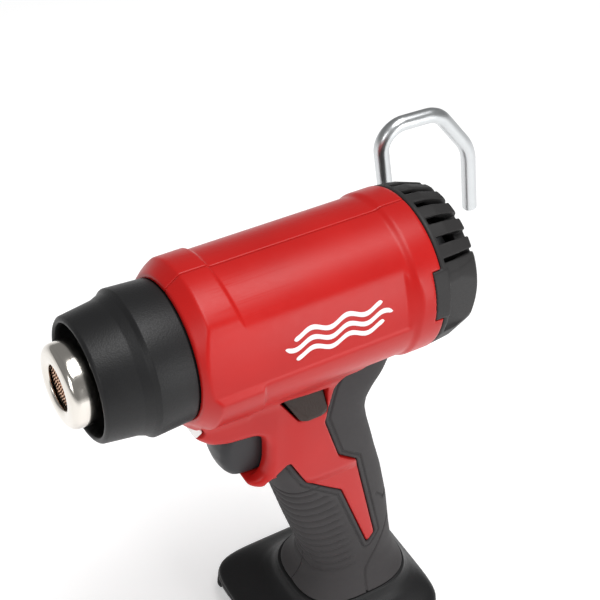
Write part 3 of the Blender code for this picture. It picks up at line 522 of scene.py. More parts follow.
# %% [markdown]
# The grip is a soft rubber overmould. It is dull at every angle and slightly warm in colour, and dust
# in its fine grain lightens it in places.

# %% Rubber
rubber = Finish("grip_rubber", (0.044, 0.041, 0.042), 0.72, Specular_IOR_Level=0.25)
dust = rubber.noise(30, 4.0)
rubber.set("Base Color", rubber.mixed(dust, (0.036, 0.033, 0.034), (0.054, 0.050, 0.051)))
rubber.set("Roughness", rubber.noise(600, 2.0) * 0.12 + 0.62)
rubber.bump(rubber.noise(3200, 2.0) + rubber.cells(1800) * 0.5, 0.018)
print("rubber ready")

# %% [markdown]
# Metals are nearly all reflection, so their detail is in the roughness. The nozzle is polished
# stainless steel with faint turning marks and a slightly warm colour. The hook is zinc-plated wire,
# cloudy in places.

# %% Metals
def metal(name, colour, roughness, uneven, scale, marks=None, depth=0.004):
    finish = Finish(name, colour, roughness, Metallic=1.0)
    where = finish.stretched(marks) if marks else None
    cloud = finish.noise(scale, 3.0, 0.6, where)
    finish.set("Roughness", cloud * uneven + (roughness - uneven / 2))
    finish.set("Base Color", finish.mixed(cloud, tuple(c * 0.86 for c in colour), colour))
    finish.bump(finish.noise(scale * 3, 2.0, 0.5, where), depth)
    return finish


nozzle_steel = metal("polished_steel", (0.80, 0.76, 0.70), 0.16, 0.10, 60, marks=(30.0, 1.0, 1.0))
plated = metal("plated_wire", (0.66, 0.68, 0.69), 0.33, 0.20, 240)
dark_steel = metal("dark_steel", (0.22, 0.22, 0.23), 0.40, 0.15, 300)
coil_wire = metal("heater_wire", (0.88, 0.58, 0.42), 0.30, 0.20, 700)
brass = metal("contact_brass", (0.80, 0.60, 0.26), 0.28, 0.15, 300)
aluminium = metal("aluminium", (0.76, 0.77, 0.79), 0.36, 0.15, 300)
print("metals ready")

# %% [markdown]
# The inner parts hardly show, but the library keeps them, so each gets a fitting finish: heat-darkened
# ceramic, mica paper, a green circuit board, red lead insulation, and the frosted lens of the lamp.

# %% Inner materials
def mottled(name, dark, light, roughness, scale, depth, **constants):
    finish = Finish(name, light, roughness, **constants)
    spots = finish.noise(scale, 3.0)
    finish.set("Base Color", finish.mixed(spots, dark, light))
    finish.set("Roughness", spots * 0.12 + (roughness - 0.06))
    finish.bump(finish.noise(scale * 4, 2.0), depth)
    return finish


ceramic = mottled("heater_ceramic", (0.10, 0.085, 0.07), (0.17, 0.15, 0.125), 0.75, 500, 0.03)
mica = mottled("mica", (0.50, 0.40, 0.28), (0.70, 0.60, 0.46), 0.42, 200, 0.02)
board = mottled("circuit_board", (0.015, 0.10, 0.04), (0.03, 0.18, 0.07), 0.42, 160, 0.01)
red_lead = mottled("red_lead", (0.50, 0.02, 0.02), (0.66, 0.03, 0.03), 0.42, 200, 0.01)
frosted = mottled("lamp_lens", (0.74, 0.72, 0.70), (0.88, 0.87, 0.86), 0.22, 400, 0.01, Coat_Weight=0.5)
white_ink = mottled("white_mark", (0.80, 0.79, 0.79), (0.90, 0.89, 0.89), 0.42, 300, 0.008)
print("inner materials ready")

# %% [markdown]
# ## The housing
#
# The barrel is a tube of changing radius: a raised band at the rear, a smooth middle, a second band at
# the front whose step leans a little, and a cone down to the collar. Each side carries a shallow
# crowned panel for a mark. Under it hangs the nose with the trigger's pocket, and behind that the
# handle. A soft union of the three gives the generous fillets that a moulding has there, which no bevel
# could follow.

# %% Housing measurements
WALL = 2.4
COLLAR_U = 101.0
MID_R, REAR_R, FRONT_R = 32.3, 33.3, 33.25
PANEL_TILT = math.radians(17)
PANEL_CROWN, PANEL_LEVEL = 70.0, 30.75
HALF_WIDTH = 17.2
SEAM_HALF = 0.04  # half the gap along the parting line

HANDLE_SECTIONS = [
    (-172.0, -15.0, 41.0, 24.0, 2.8), (-168.0, -12.6, 37.6, 21.2, 2.7), (-164.0, -11.0, 35.5, 19.6, 2.6),
    (-156.0, -8.6, 34.8, 17.9, 2.5), (-146.0, -6.8, 37.6, 17.4, 2.5), (-125.0, -3.4, 45.0, 17.2, 2.5),
    (-104.0, 1.7, 51.8, 17.2, 2.6), (-90.0, 6.2, 56.4, 17.2, 2.8), (-80.0, 9.2, 59.6, 17.2, 3.0),
    (-68.0, 13.0, 60.5, 17.2, 3.2), (-59.0, 15.0, 60.0, 17.2, 3.2), (-52.0, 14.4, 60.0, 17.2, 3.2),
    (-46.0, 11.4, 60.0, 17.2, 3.2), (-40.0, 7.0, 60.0, 17.2, 3.2), (-27.0, 2.0, 60.0, 17.2, 3.2),
]
POD_OUTLINE = [
    (24, -20), (98.2, -20), (98.2, -32), (97.4, -36), (94.4, -42), (89, -46.6), (82, -48.6), (70, -48.9),
    (66.8, -51), (65, -55.5), (64.5, -66), (65.6, -72.4), (69, -75.4), (73.2, -75.7), (73.4, -76.8),
    (70.6, -78.8),
    (65.6, -80.6), (56, -84.0), (24, -84),
]
POD_PLAN = ((20, 50, 62, 72, 90, 96, 99), (17.2, 17.2, 16.6, 15.0, 13.2, 11.8, 9.4))
SIDE_PANEL = [
    (33, -24), (37.6, -34), (39, -41), (40.6, -51.5), (32.3, -75.7), (22.3, -83.9), (8.2, -138.7),
    (12, -143.4), (28.6, -99.4), (46.1, -86.1), (55.2, -68.8), (58.6, -71.8), (64.6, -76.6), (70, -84),
    (90, -90), (100, -24),
]
TAB_U, TAB_Z = 3.6, (-1.0, 18.2)  # the rear cap's tab steps into the housing here, on both sides
SLIDER_WINDOW = [(40.4, -31.6), (62.0, -31.6), (52.6, -46.0), (39.8, -45.6)]
LENS_SEAT = [(100.2, -32.6), (93.9, -33.0), (91.2, -37.8), (95.2, -41.8), (100.2, -37.8)]
POCKET_LOW, POCKET_HIGH = (50, -9, -75.4), (80, 9.5, -48.3)  # the trigger's pocket, one half
SPIGOT = [(-182, -3, 29, 14.0, 2.6), (-160, -5, 31, 14.6, 2.6)]  # the foot's room for the handle's end
BOSSES = [(83.5, -40.5), (30.6, -44.2), (57.5, -80.5), (18.0, -88.0), (8.5, -128.0), (25.0, -152.0)]
print(len(HANDLE_SECTIONS), "handle sections,", len(BOSSES), "screw places")


# %% Barrel field
def barrel_radius(u, theta):
    """The barrel's radius by the place along it and round it."""
    step = 77.5 + 5.5 * np.sin(theta)
    radius = MID_R + (REAR_R - MID_R) * (1 - ramp_up(u, 9.8, 13.2))
    return radius + (FRONT_R + 0.2 - MID_R) * ramp_up(u, step, step + 1.6)


def side_panel(field):
    """The crowned panel on each side of the barrel, with a sloped wall below and behind it."""
    out = np.abs(field.y) * math.cos(PANEL_TILT) + field.z * math.sin(PANEL_TILT)
    across = field.z * math.cos(PANEL_TILT) - np.abs(field.y) * math.sin(PANEL_TILT)
    panel = np.sqrt((out + PANEL_CROWN - PANEL_LEVEL) ** 2 + across ** 2) - PANEL_CROWN
    outside = np.maximum(np.maximum(-9.6 - across, 15.2 - field.u), 0)
    return np.where(out > 0, panel - 0.42 * outside, -1.0 - WALL)


def barrel(field):
    around = np.sqrt(field.y ** 2 + field.z ** 2)
    theta = np.arctan2(field.z, np.abs(field.y) + 1e-6)
    shape = around - barrel_radius(field.u, theta)
    nose = (field.u - 95.8) * 0.62 + (around - 33.0) * 0.785
    shape = overlap(shape, nose, 0.4)
    shape = overlap(shape, np.maximum(-field.u, field.u - COLLAR_U), 0.8)
    return overlap(shape, side_panel(field), 0.5)


# %% [markdown]
# The inside matters too, because it shows through the intake slots and round the trigger. The bore, the
# trigger's pocket, the window for the lock and the lamp's seat are cut with soft edges of half a
# millimetre or so.

# %% Housing halves
def housing_half(name, flip):
    field = Field((-1.5, 0, -183.5), (102.5, 35.5, 35.5), 0.55 * FINE)
    side = HALF_WIDTH - 0.15
    handle = field.handle(HANDLE_SECTIONS)
    reach = np.interp(field.u[:, 0, 0], *POD_PLAN)[:, None, None]
    nose = overlap(field.outline(POD_OUTLINE, 1.2), (field.y - reach) * 0.96, 4.0)
    red_panel = field.outline(SIDE_PANEL, 0.6)
    nose = overlap(nose, red_panel, 0.7)
    upper = overlap(handle, np.maximum(red_panel, -88 - field.z), 0.7)
    shape = union(barrel(field), union(nose, upper, 4.5), 8.0)
    strip = overlap(handle + 0.15, red_panel, 0.7)
    core = overlap(field.handle(HANDLE_SECTIONS, 2.5), field.y - side)
    shape = union(union(shape, strip), core)
    spigot = field.handle([(-181, -3, 29, 14.0, 2.6), (-160, -5, 31, 14.6, 2.6)])
    shape = union(shape, spigot)
    grip_side = overlap(overlap(handle - 4.0, field.z + 22.5), -field.outline(SIDE_PANEL, 0.6))
    free = overlap(grip_side, -field.handle(HANDLE_SECTIONS, 2.5))
    shape = minus(shape, overlap(free, 33.0 - np.sqrt(field.y ** 2 + field.z ** 2)), 0.3)
    bore = np.maximum(field.along_x(30.3, -5, 87.0), side_panel(field) + 1.7)
    collar = field.along_x(27.2, 80, 110)
    groove = field.along_x(29.3, 88.6, 93.2)
    rooms = union(field.block((28.5, -5, -80), (61, 12.6, -20)), field.block((20, -5, -79), (40, 8.2, -21)))
    rooms = union(rooms, field.block((60, -5, -45.5), (89.5, 9.2, -20)))
    cavity = field.handle(HANDLE_SECTIONS[3:14], 4.9)
    throat = field.handle([(-183.4, -0.4, 26.4, 11.4, 2.6), (-156, -2.4, 28.4, 12.0, 2.6)])
    for hollow in (bore, collar, groove, rooms, cavity, throat):
        shape = minus(shape, hollow)
    shape = minus(shape, field.block((-5, 20, TAB_Z[0] - 0.3), (TAB_U + 0.3, 60, TAB_Z[1] + 0.3)), 0.15)
    for u, z in BOSSES:
        shape = union(shape, field.along_y(3.6, -5, 9.8, u, z))
    shape = minus(shape, field.block(POCKET_LOW, POCKET_HIGH), 0.8)
    shape = minus(shape, field.outline(SLIDER_WINDOW, 0.8), 0.5)
    shape = minus(shape, field.outline(LENS_SEAT, 0.5), 0.3)
    wells = [field.along_y(3.2, 8.5 if flip else 99, 60, u, z) for u, z in BOSSES]
    for (u, z), well in zip(BOSSES, wells):
        shape = minus(shape, union(well, field.along_y(1.5, -5, 10 if not flip else 60, u, z)), 0.4)
    shape = overlap(shape, SEAM_HALF - field.y, 0.1)
    piece = moulded(name, field, shape, flip=flip, thin=0.5, seam=SEAM_HALF)
    piece.data.materials.append(red.material)
    return piece


left_shell = housing_half("housing_left_skin", flip=False)
right_shell = housing_half("housing_right_skin", flip=True)
for piece, node in ((left_shell, "left_housing"), (right_shell, "right_housing")):
    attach(piece, "housing")
    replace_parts(piece, node)

# %% [markdown]
# ## The rubber grips
#
# The overmould wraps the handle and leaves the red panel bare. A fine groove follows the panel's edge a
# little way in, another closes off the palm, and the finger side is ribbed. All of it is cut into the
# field: the distance from an outline or a line, in the side view, makes a groove wherever it is small.

# %% Grip halves
RIB_PITCH = 5.2
RIB_DEPTH = 1.05
HANDLE_RAKE = math.radians(17)
GROOVE_OFFSET = 2.5
PALM_LINE = [(-20, -121.5), (3.0, -121.5), (8.6, -114.0)]
HEEL_LINE = [(-20, -146), (-1.5, -137.0), (12.6, -160), (14.0, -180)]


def grip_half(name, flip):
    field = Field((-18, 0, -173.5), (64, 25, -20), 0.42 * FINE)
    handle = field.handle(HANDLE_SECTIONS)
    red_panel = field.outline(SIDE_PANEL, 0.5)
    u, z = field.u[:, 0, :], field.z[:, 0, :]
    edge = outline_distance(u, z, SIDE_PANEL)
    along = z * math.cos(HANDLE_RAKE) + u * math.sin(HANDLE_RAKE)
    top = -74.5
    wave = np.abs(np.sin(math.pi * (along - top) / RIB_PITCH))
    middle = np.interp(z, [s[0] for s in HANDLE_SECTIONS], [(s[1] + s[2]) / 2 for s in HANDLE_SECTIONS])
    ribbed = ramp_up(edge, 3.4, 5.0) * ramp_up(u, middle + 2.0, middle + 8.0) * ramp_up(-along, 76.0, 78.5)
    ribbed = ribbed * (1 - ramp_up(-along, 141, 145))
    carved = RIB_DEPTH * (1 - wave ** 0.7) * ribbed
    brow = np.abs(along + 75.5)
    lines = np.minimum(np.abs(edge - GROOVE_OFFSET), np.where(u > middle, brow, 9.0))
    lines = np.minimum(lines, np.where(u < middle, line_distance(u, z, PALM_LINE), 9.0))
    lines = np.minimum(lines, line_distance(u, z, HEEL_LINE))
    carved = carved + 0.75 * np.clip(1 - (lines / 0.6) ** 2, 0, 1) * (1 - ribbed)
    lip = 0.35 * ramp_up(edge, 0.2, 1.0)
    shape = handle + 0.25 - lip[:, None, :] + carved[:, None, :]
    shape = minus(shape, field.handle(HANDLE_SECTIONS, 2.4))
    shape = minus(shape, red_panel - 0.28, 0.5)
    shape = minus(shape, field.block(POCKET_LOW, POCKET_HIGH), 0.6)
    around = np.sqrt(field.y ** 2 + field.z ** 2)
    shape = overlap(shape, 33.2 - around, 0.5)
    shape = overlap(shape, -171.7 - field.z, 0.3)
    for u_screw, z_screw in BOSSES:
        shape = minus(shape, field.along_y(3.5, 8.5 if flip else 99, 60, u_screw, z_screw), 0.4)
    shape = overlap(shape, SEAM_HALF - field.y, 0.1)
    piece = moulded(name, field, shape, flip=flip, thin=0.55, seam=SEAM_HALF)
    piece.data.materials.append(rubber.material)
    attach(piece, "housing")
    return piece


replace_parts(grip_half("grip_left_skin", flip=False), "left_grip")
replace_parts(grip_half("grip_right_skin", flip=True), "right_grip")

# %% [markdown]
# ## Turned parts
#
# The shroud and the nozzle are round about the barrel's axis. A lathe is the natural tool: a profile of
# points, with every corner rounded by a few extra points, is swept round in many small steps.

# %% A lathe for smooth profiles
def rounded(profile, soft, steps=4):
    """A closed profile with each corner replaced by a short arc; soft is the length cut from each side."""
    made = []
    count = len(profile)
    for index in range(count):
        corner = Vector(profile[index])
        before, after = Vector(profile[index - 1]) - corner, Vector(profile[(index + 1) % count]) - corner
        reach = min(soft, before.length * 0.45, after.length * 0.45)
        start, end = corner + before.normalized() * reach, corner + after.normalized() * reach
        for step in range(steps + 1):
            t = step / steps
            made.append(start.lerp(corner, t).lerp(corner.lerp(end, t), t))
    return made


def lathed(name, profile, look, steps=160):
    """A closed profile of (u, radius) points, swept round the barrel's axis."""
    bm = bmesh.new()
    rings = []
    for step in range(steps):
        angle = 2 * math.pi * step / steps
        c, s = math.cos(angle), math.sin(angle)
        rings.append([bm.verts.new(place(u, radius * c, radius * s)) for u, radius in profile])
    count = len(profile)
    for index in range(steps):
        ring, following = rings[index], rings[(index + 1) % steps]
        for k in range(count):
            n = (k + 1) % count
            bm.faces.new((ring[k], ring[n], following[n], following[k]))
    bmesh.ops.remove_doubles(bm, verts=bm.verts, dist=1e-6)
    bmesh.ops.recalc_face_normals(bm, faces=bm.faces)
    return from_bmesh(name, bm, look)


def from_bmesh(name, bm, look, smooth=True):
    mesh = bpy.data.meshes.new(name)
    bm.to_mesh(mesh)
    bm.free()
    if smooth:
        mesh.shade_smooth()
    mesh.materials.append(look.material)
    piece = bpy.data.objects.new(name, mesh)
    bpy.context.scene.collection.objects.link(piece)
    print(name, len(mesh.vertices), "vertices,", len(mesh.polygons), "faces")
    return piece


shroud_profile = [
    (135.4, 21.6), (136.0, 22.1), (136.0, 23.0), (135.0, 24.1), (121.8, 25.8), (118.2, 27.1), (116.6, 28.5),
    (101.6, 27.6), (101.6, 26.6), (92.9, 26.6), (92.9, 28.9), (89.0, 28.9), (89.0, 24.6),
    (121, 23.9), (121, 17.2), (122.6, 17.2), (122.6, 23.7), (130, 22.8), (133.5, 21.6),
]
shroud = lathed("shroud_skin", rounded(shroud_profile, 0.45), black)
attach(shroud, "housing")
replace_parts(shroud, "nozzle_shroud")

# %% [markdown]
# The nozzle tube is drawn from one piece of steel. Its tip is rolled inwards into a thick lip that
# reads as a ring, with a straight neck behind it, and the outlet is a round hole in the middle.

# %% Nozzle tube
TIP_U = 144.6
lip = [(TIP_U - 0.3, 9.6), (TIP_U, 10.6), (TIP_U, 12.4)]
for step in range(9):
    angle = math.radians(90 * step / 8)
    lip.append((TIP_U - 3.4 + 3.3 * math.cos(angle), 12.8 + 3.4 * math.sin(angle)))
lip += [(TIP_U - 6.2, 16.2), (TIP_U - 10.2, 16.1), (TIP_U - 11.4, 15.4)]
tube_profile = lip + [
    (92.3, 15.4), (92.3, 21.5), (91.3, 21.5), (91.3, 14.4), (TIP_U - 13.4, 14.4), (TIP_U - 11.0, 13.3),
    (TIP_U - 4.0, 13.3), (TIP_U - 2.2, 11.4), (TIP_U - 1.9, 9.2), (TIP_U - 1.5, 8.6), (TIP_U - 0.9, 8.7),
]
nozzle = lathed("nozzle_skin", rounded(tube_profile, 0.5, 3), nozzle_steel)
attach(nozzle, "housing")
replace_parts(nozzle, "nozzle_tube")

# %% [markdown]
# Through the outlet one sees the heater: rows of small coiled wire, tinted by heat. Each row is a curve
# with a round bevel, cut to the bore's width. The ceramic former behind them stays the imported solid.

# %% Heater coils
def wire_piece(name, paths, radius, look, resolution=3):
    """Round wire along one or more lists of points in tool millimetres."""
    curve = bpy.data.curves.new(name, "CURVE")
    curve.dimensions = "3D"
    curve.bevel_depth = radius * MM
    curve.bevel_resolution = resolution
    curve.use_fill_caps = True
    for points in paths:
        spline = curve.splines.new("POLY")
        spline.points.add(len(points) - 1)
        for point, where in zip(spline.points, points):
            point.co = (*place(*where), 1.0)
    piece = bpy.data.objects.new(name, curve)
    bpy.context.scene.collection.objects.link(piece)
    bpy.context.view_layer.update()
    graph = bpy.context.evaluated_depsgraph_get()
    mesh = bpy.data.meshes.new_from_object(piece.evaluated_get(graph))
    bpy.data.objects.remove(piece, do_unlink=True)
    made = bpy.data.objects.new(name, mesh)
    bpy.context.scene.collection.objects.link(made)
    mesh.shade_smooth()
    mesh.materials.clear()
    mesh.materials.append(look.material)
    print(name, len(mesh.vertices), "vertices")
    return made


COIL_ROW_PITCH, COIL_TURN_PITCH, COIL_RADIUS = 2.55, 1.45, 1.0
rows = []
for row in range(-3, 4):
    z = row * COIL_ROW_PITCH
    reach = math.sqrt(10.9 ** 2 - z ** 2)
    turns = 2 * reach / COIL_TURN_PITCH
    count = int(turns * 10)
    path = []
    for step in range(count + 1):
        angle = 2 * math.pi * step / 10 + row * 1.3
        y = -reach + 2 * reach * step / count
        path.append((140.9 + COIL_RADIUS * math.cos(angle), y, z + COIL_RADIUS * math.sin(angle)))
    rows.append(path)
coils = wire_piece("heater_coil_rows", rows, 0.28, coil_wire, 1)
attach(coils, "housing")
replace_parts(coils, "heater_coil")

# %% [markdown]
# ## The rear cap
#
# The cap is a shallow cup with intake slots between ribs over its top and bottom, and a stepped pad on
# each side, whose tab steps into the housing. The hook's wire enters the right pad. It is again a
# field: a tapering cup, minus slots that point at the axis.

# %% Rear cap
CAP_DEPTH = 19.4
SLOT_STEP = 15.0
field = Field((-21, -35, -35), (6, 35, 35), 0.5 * FINE)
around = np.sqrt(field.y ** 2 + field.z ** 2)
outer = np.interp(field.u[:, 0, 0], (-19.4, -17.5, -8.5, 0), (27.2, 29.6, 32.4, 33.15))[:, None, None]
cup = overlap((around - outer) * 0.85, np.maximum(-CAP_DEPTH - field.u, field.u + 0.3), 1.2)
inner = np.interp(field.u[:, 0, 0], (-17.1, -8.0, 0), (22.6, 30.4, 30.8))[:, None, None]
cup = minus(cup, np.maximum((around - inner) * 0.85, -17.1 - field.u), 0.6)
angle = np.degrees(np.arctan2(field.z, field.y))
for sign, side_angle in ((1, 38.0), (-1, 142.0)):
    y, z = (21.0 * f(math.radians(side_angle)) for f in (math.cos, math.sin))
    cup = union(cup, field.along_x(3.6, -18.3, -0.3, y, z))
    cup = minus(cup, field.along_x(3.1, -25, -15.4, y, z), 0.4)
    cup = minus(cup, field.along_x(1.5, -25, 2, y, z))
    near, far = (22.9, 31.3) if sign > 0 else (-31.3, -22.9)
    pad = overlap(field.block((-19.2, near, -12.4), (-1.3, far, 16.0)), (around - outer) * 0.85)
    cup = union(cup, pad, 0.4)
    out = field.y * sign
    recess = np.maximum(29.4 + 0.12 * (field.u + 10) - out, np.maximum(-10.4 - field.z, field.z - 13.9))
    recess = np.maximum(recess, field.u + 2.6)
    cup = minus(cup, recess, 0.25)
    tab = np.maximum(np.maximum(around - 33.2, 30.9 - around), 20 - out)
    tab = np.maximum(tab, np.maximum(TAB_Z[0] - field.z, field.z - TAB_Z[1]))
    cup = union(cup, np.maximum(tab, np.maximum(-3 - field.u, field.u - TAB_U)), 0.2)
spoke = angle % SLOT_STEP - SLOT_STEP / 2
sideways = np.abs(field.y) / np.maximum(around, 1e-3)
slot = np.abs(np.radians(spoke) * around) - 1.5
slot = np.maximum(slot, field.u + 2.6)
slot = np.maximum(slot, np.maximum(25.2 - around, 40 * (sideways - math.cos(math.radians(37)))))
cup = minus(cup, slot, 0.3)
cup = minus(cup, field.along_y(3.6, -45, -20, -10, -4), 0.4)
cap = moulded("rear_cap_skin", field, cup, thin=0.7)
cap.data.materials.append(cap_black.material)
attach(cap, "housing")
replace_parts(cap, "rear_cap")

# %% [markdown]
# ## The hook
#
# One length of plated wire: it enters the cap, turns up beside it, and bends into an open loop. Each
# bend is a true arc, because real wire is bent round a former, and the free end is slightly domed.

# %% Hook
WIRE_R = 3.2
PIVOT_U, PIVOT_Z, HOOK_Y = -10.0, -4.0, -37.4


def bent(corners, radii, steps=14):
    path = [Vector(corners[0])]
    for radius, before, corner, after in zip(radii, corners, corners[1:], corners[2:]):
        corner = Vector(corner)
        one, two = (Vector(before) - corner), (Vector(after) - corner)
        half = one.angle(two) / 2
        reach = min(radius / math.tan(half), one.length * 0.49, two.length * 0.49)
        start, end = corner + one.normalized() * reach, corner + two.normalized() * reach
        true_radius = reach * math.tan(half)
        middle = corner + (one.normalized() + two.normalized()).normalized() * true_radius / math.sin(half)
        a, b = start - middle, end - middle
        whole = a.angle(b)
        for step in range(steps + 1):
            t = step / steps
            path.append(middle + (a * math.sin((1 - t) * whole) + b * math.sin(t * whole)) / math.sin(whole))
    path.append(Vector(corners[-1]))
    return path


hook_corners = [
    (PIVOT_U, -20.0, PIVOT_Z), (PIVOT_U, HOOK_Y, PIVOT_Z), (-19.6, HOOK_Y, 4.5), (-13.0, HOOK_Y, 38.2),
    (-41.5, HOOK_Y, 37.4), (-60.0, HOOK_Y, 14.6), (-65.8, HOOK_Y, -18.2),
]
hook = wire_piece("hook_wire", [bent(hook_corners, (8, 12, 9.5, 12, 24))], WIRE_R, plated, 9)
soften = hook.modifiers.new("end", "BEVEL")
soften.width = 0.6 * MM
soften.segments = 3
soften.angle_limit = math.radians(60)
applied(hook)
hook.data.shade_smooth()
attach(hook, "hook")
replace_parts(hook, "hook")

# %% [markdown]
# ## Trigger, lock and lamp
#
# The trigger's back has a round pocket that takes the spring when the trigger is pulled. The trigger is
# a plump block, fuller in the middle of its face than at its edges. The lock is a bar that slides from
# side to side: its left end is a wedge, sunk at the top and proud at the bottom, so that a thumb finds
# it.

# %% Trigger, lock and lens
SPRING_ROOM_R = 5.0  # a pocket in the trigger's back takes the spring when it is pulled
TRIGGER_OUTLINE = [
    (56.5, -48.9), (76.5, -48.9), (79.6, -50.4), (81.6, -54.0), (82.3, -60), (82.0, -66), (80.4, -71.0),
    (77.4, -74.4), (73.5, -75.2), (56.5, -75.2),
]
field = Field((55, -10.5, -77), (85, 10.5, -47), 0.32 * FINE)
crown = 1.6 * (field.y / 9.0) ** 2 * ramp_up(field.u, 66, 82)
shape = field.outline(TRIGGER_OUTLINE, 1.0) + crown
shape = overlap(shape, np.abs(field.y) - 9.0 + 0.5 * ramp_up(field.u, 74, 84), 3.2)
shape = minus(shape, field.along_x(SPRING_ROOM_R, 50, 62.8, 0, -62), 0.3)
trigger = moulded("trigger_skin", field, shape, thin=0.8)
trigger.data.materials.append(trigger_grey.material)
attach(trigger, "trigger")
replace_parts(trigger, "trigger")

LOCK_OUTLINE = [(41, -32.8), (59.6, -32.8), (52, -45.6), (40.2, -45.2)]
field = Field((39, -16.5, -47), (61, 21, -31), 0.3 * FINE)
shape = overlap(field.outline(LOCK_OUTLINE, 0.6), -14.4 - field.y, 0.8)
ridge = (field.y - 19.2) * 0.91 + (field.z + 43.6) * 0.42
front = (field.y - 19.2) * 0.90 + (field.u - 49.5) * 0.43
rear = (field.y - 19.2) * 0.96 + (43.0 - field.u) * 0.26
for facet in (field.y - 19.3, ridge, front, rear):
    shape = overlap(shape, facet, 0.2)
lock = moulded("lock_skin", field, shape, thin=0.8)
lock.data.materials.append(slider_brown.material)
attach(lock, "lock_slider")
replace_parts(lock, "lock_slider")

LENS_OUTLINE = [(99.5, -33.0), (94.3, -33.4), (91.7, -37.8), (95.2, -41.3), (99.5, -37.6)]
field = Field((90, -13.5, -43), (99, 13.5, -31), 0.25 * FINE)
reach = np.interp(field.u[:, 0, 0], *POD_PLAN)[:, None, None]
shape = overlap(field.outline(LENS_OUTLINE, 0.4), np.abs(field.y) - reach + 1.0, 1.0)
FRONT_FACE = [(80, -20), (97.6, -20), (97.6, -33), (96.9, -36), (94.6, -41), (90, -46), (80, -46)]
front_face = field.outline(FRONT_FACE)
lens = moulded("lens_skin", field, overlap(shape, front_face, 0.6), thin=0.8)
lens.data.materials.append(frosted.material)
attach(lens, "housing")
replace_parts(lens, "led_lens")

# %% [markdown]
# ## The battery foot
#
# The foot flares out of the handle in one sweep and drops into straight side walls. Below it is the
# open channel for the battery's rails, with a latch notch in each wall, and a shallow line runs round
# the outside.

# %% Foot
FLOOR_Z = -AXIS_Z / MM
field = Field((-25.5, -39.5, FLOOR_Z - 1), (65.5, 39.5, -171), 0.6 * FINE)
flare = [
    (FLOOR_Z, -22, 62, 37.0, 7.0), (FLOOR_Z + 3, -24, 64, 38, 7.0), (FLOOR_Z + 14.5, -24, 63.6, 37.9, 6.4),
    (FLOOR_Z + 16.0, -22.8, 58.4, 34.6, 5.6), (FLOOR_Z + 18.0, -20.8, 50.0, 29.6, 4.6),
    (FLOOR_Z + 21.0, -18.4, 44.6, 26.4, 3.6), (FLOOR_Z + 24.4, -16.2, 42.2, 24.7, 3.1),
    (FLOOR_Z + 27.7, -15.2, 41.4, 24.2, 2.8),
]
shape = field.handle(flare)
shape = shape + 0.5 * np.clip(1 - ((field.z - FLOOR_Z - 12.2) / 0.7) ** 2, 0, 1)
shape = minus(shape, field.block((-18, -30, FLOOR_Z - 5), (70, 30, FLOOR_Z + 10)), 0.4)
for low, high in ((20, 33), (-33, -20)):
    shape = minus(shape, field.block((34, low, FLOOR_Z + 2.5), (42, high, FLOOR_Z + 8)), 0.3)
shape = minus(shape, field.handle(SPIGOT, -0.4))
shape = minus(shape, field.block((0, -7, -195), (14, 7, -180)))
foot = moulded("foot_skin", field, shape, thin=0.5)
foot.data.materials.append(black.material)
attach(foot, "housing")
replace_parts(foot, "foot_shell")

# %% [markdown]
# ## Screws
#
# All the housing's screws are driven from the right. Each gets a pan head with a six-lobed recess,
# which is a star pressed into the lathed head, on a plain shank.

# %% Screws
LOBES = 6
RECESS_R, RECESS_DEPTH = 1.5, 1.1


def screw_piece(name, node, axis, head_r, head, seat, end):
    """A screw along "x" or "y": its head's top, its seat and its point are places along that axis."""
    low, high = span(node)
    centre = [(a + b) / 2 for a, b in zip(low, high)]
    centre[0 if axis == "x" else 1] = 0.0
    soft = 0.5
    profile = [(head, 1e-4), (head, RECESS_R), (head, head_r - 0.7), (head + soft, head_r), (seat, head_r)]
    profile += [(seat, 1.25), (end - 1.6, 1.25), (end, 1e-4)]
    bm = bmesh.new()
    steps = 48
    rings = []
    for k, (a, r) in enumerate(profile):
        ring = []
        for step in range(steps):
            angle = 2 * math.pi * step / steps
            wave = 1 + 0.13 * math.cos(LOBES * angle) if k == 1 else 1
            c, s = math.cos(angle) * r * wave, math.sin(angle) * r * wave
            point = (a, c, s) if axis == "x" else (c, a, s)
            ring.append(bm.verts.new(place(*(p + q for p, q in zip(point, centre)))))
        rings.append(ring)
    floor = []
    for v in rings[1]:
        down = (RECESS_DEPTH * MM, 0, 0) if axis == "x" else (0, RECESS_DEPTH * MM, 0)
        floor.append(bm.verts.new(v.co + Vector(down)))
    for v in rings[0]:
        bm.verts.remove(v)
    rings = [floor] + rings[1:]
    for ring, following in zip(rings, rings[1:]):
        for step in range(steps):
            n = (step + 1) % steps
            bm.faces.new((ring[step], ring[n], following[n], following[step]))
    bm.faces.new(floor)
    bmesh.ops.remove_doubles(bm, verts=bm.verts, dist=1e-6)
    bmesh.ops.recalc_face_normals(bm, faces=bm.faces)
    made = from_bmesh(name, bm, dark_steel)
    made.data.set_sharp_from_angle(angle=math.radians(40))
    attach(made, "housing")
    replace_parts(made, node)


for number in range(1, len(BOSSES) + 1):
    node = f"housing_screw_{number}"
    low, high = span(node)
    screw_piece(f"screw_{number}_turned", node, "y", 2.8, low[1], low[1] + 2.2, high[1])
for side in ("left", "right"):
    node = f"cap_screw_{side}"
    low, high = span(node)
    screw_piece(f"{node}_turned", node, "x", 2.8, low[0], low[0] + 2.2, high[0])

# %% [markdown]
# ## A plain mark
#
# The side panel carries a mark of this notebook's own: three wavy strips that stand for warm air. They
# are thin inlays that follow the panel's crown, so each cross section sits at the surface's own height.

# %% Warm-air mark
MARK_HALF, MARK_PROUD, MARK_WAVE = 0.95, 0.28, 1.25


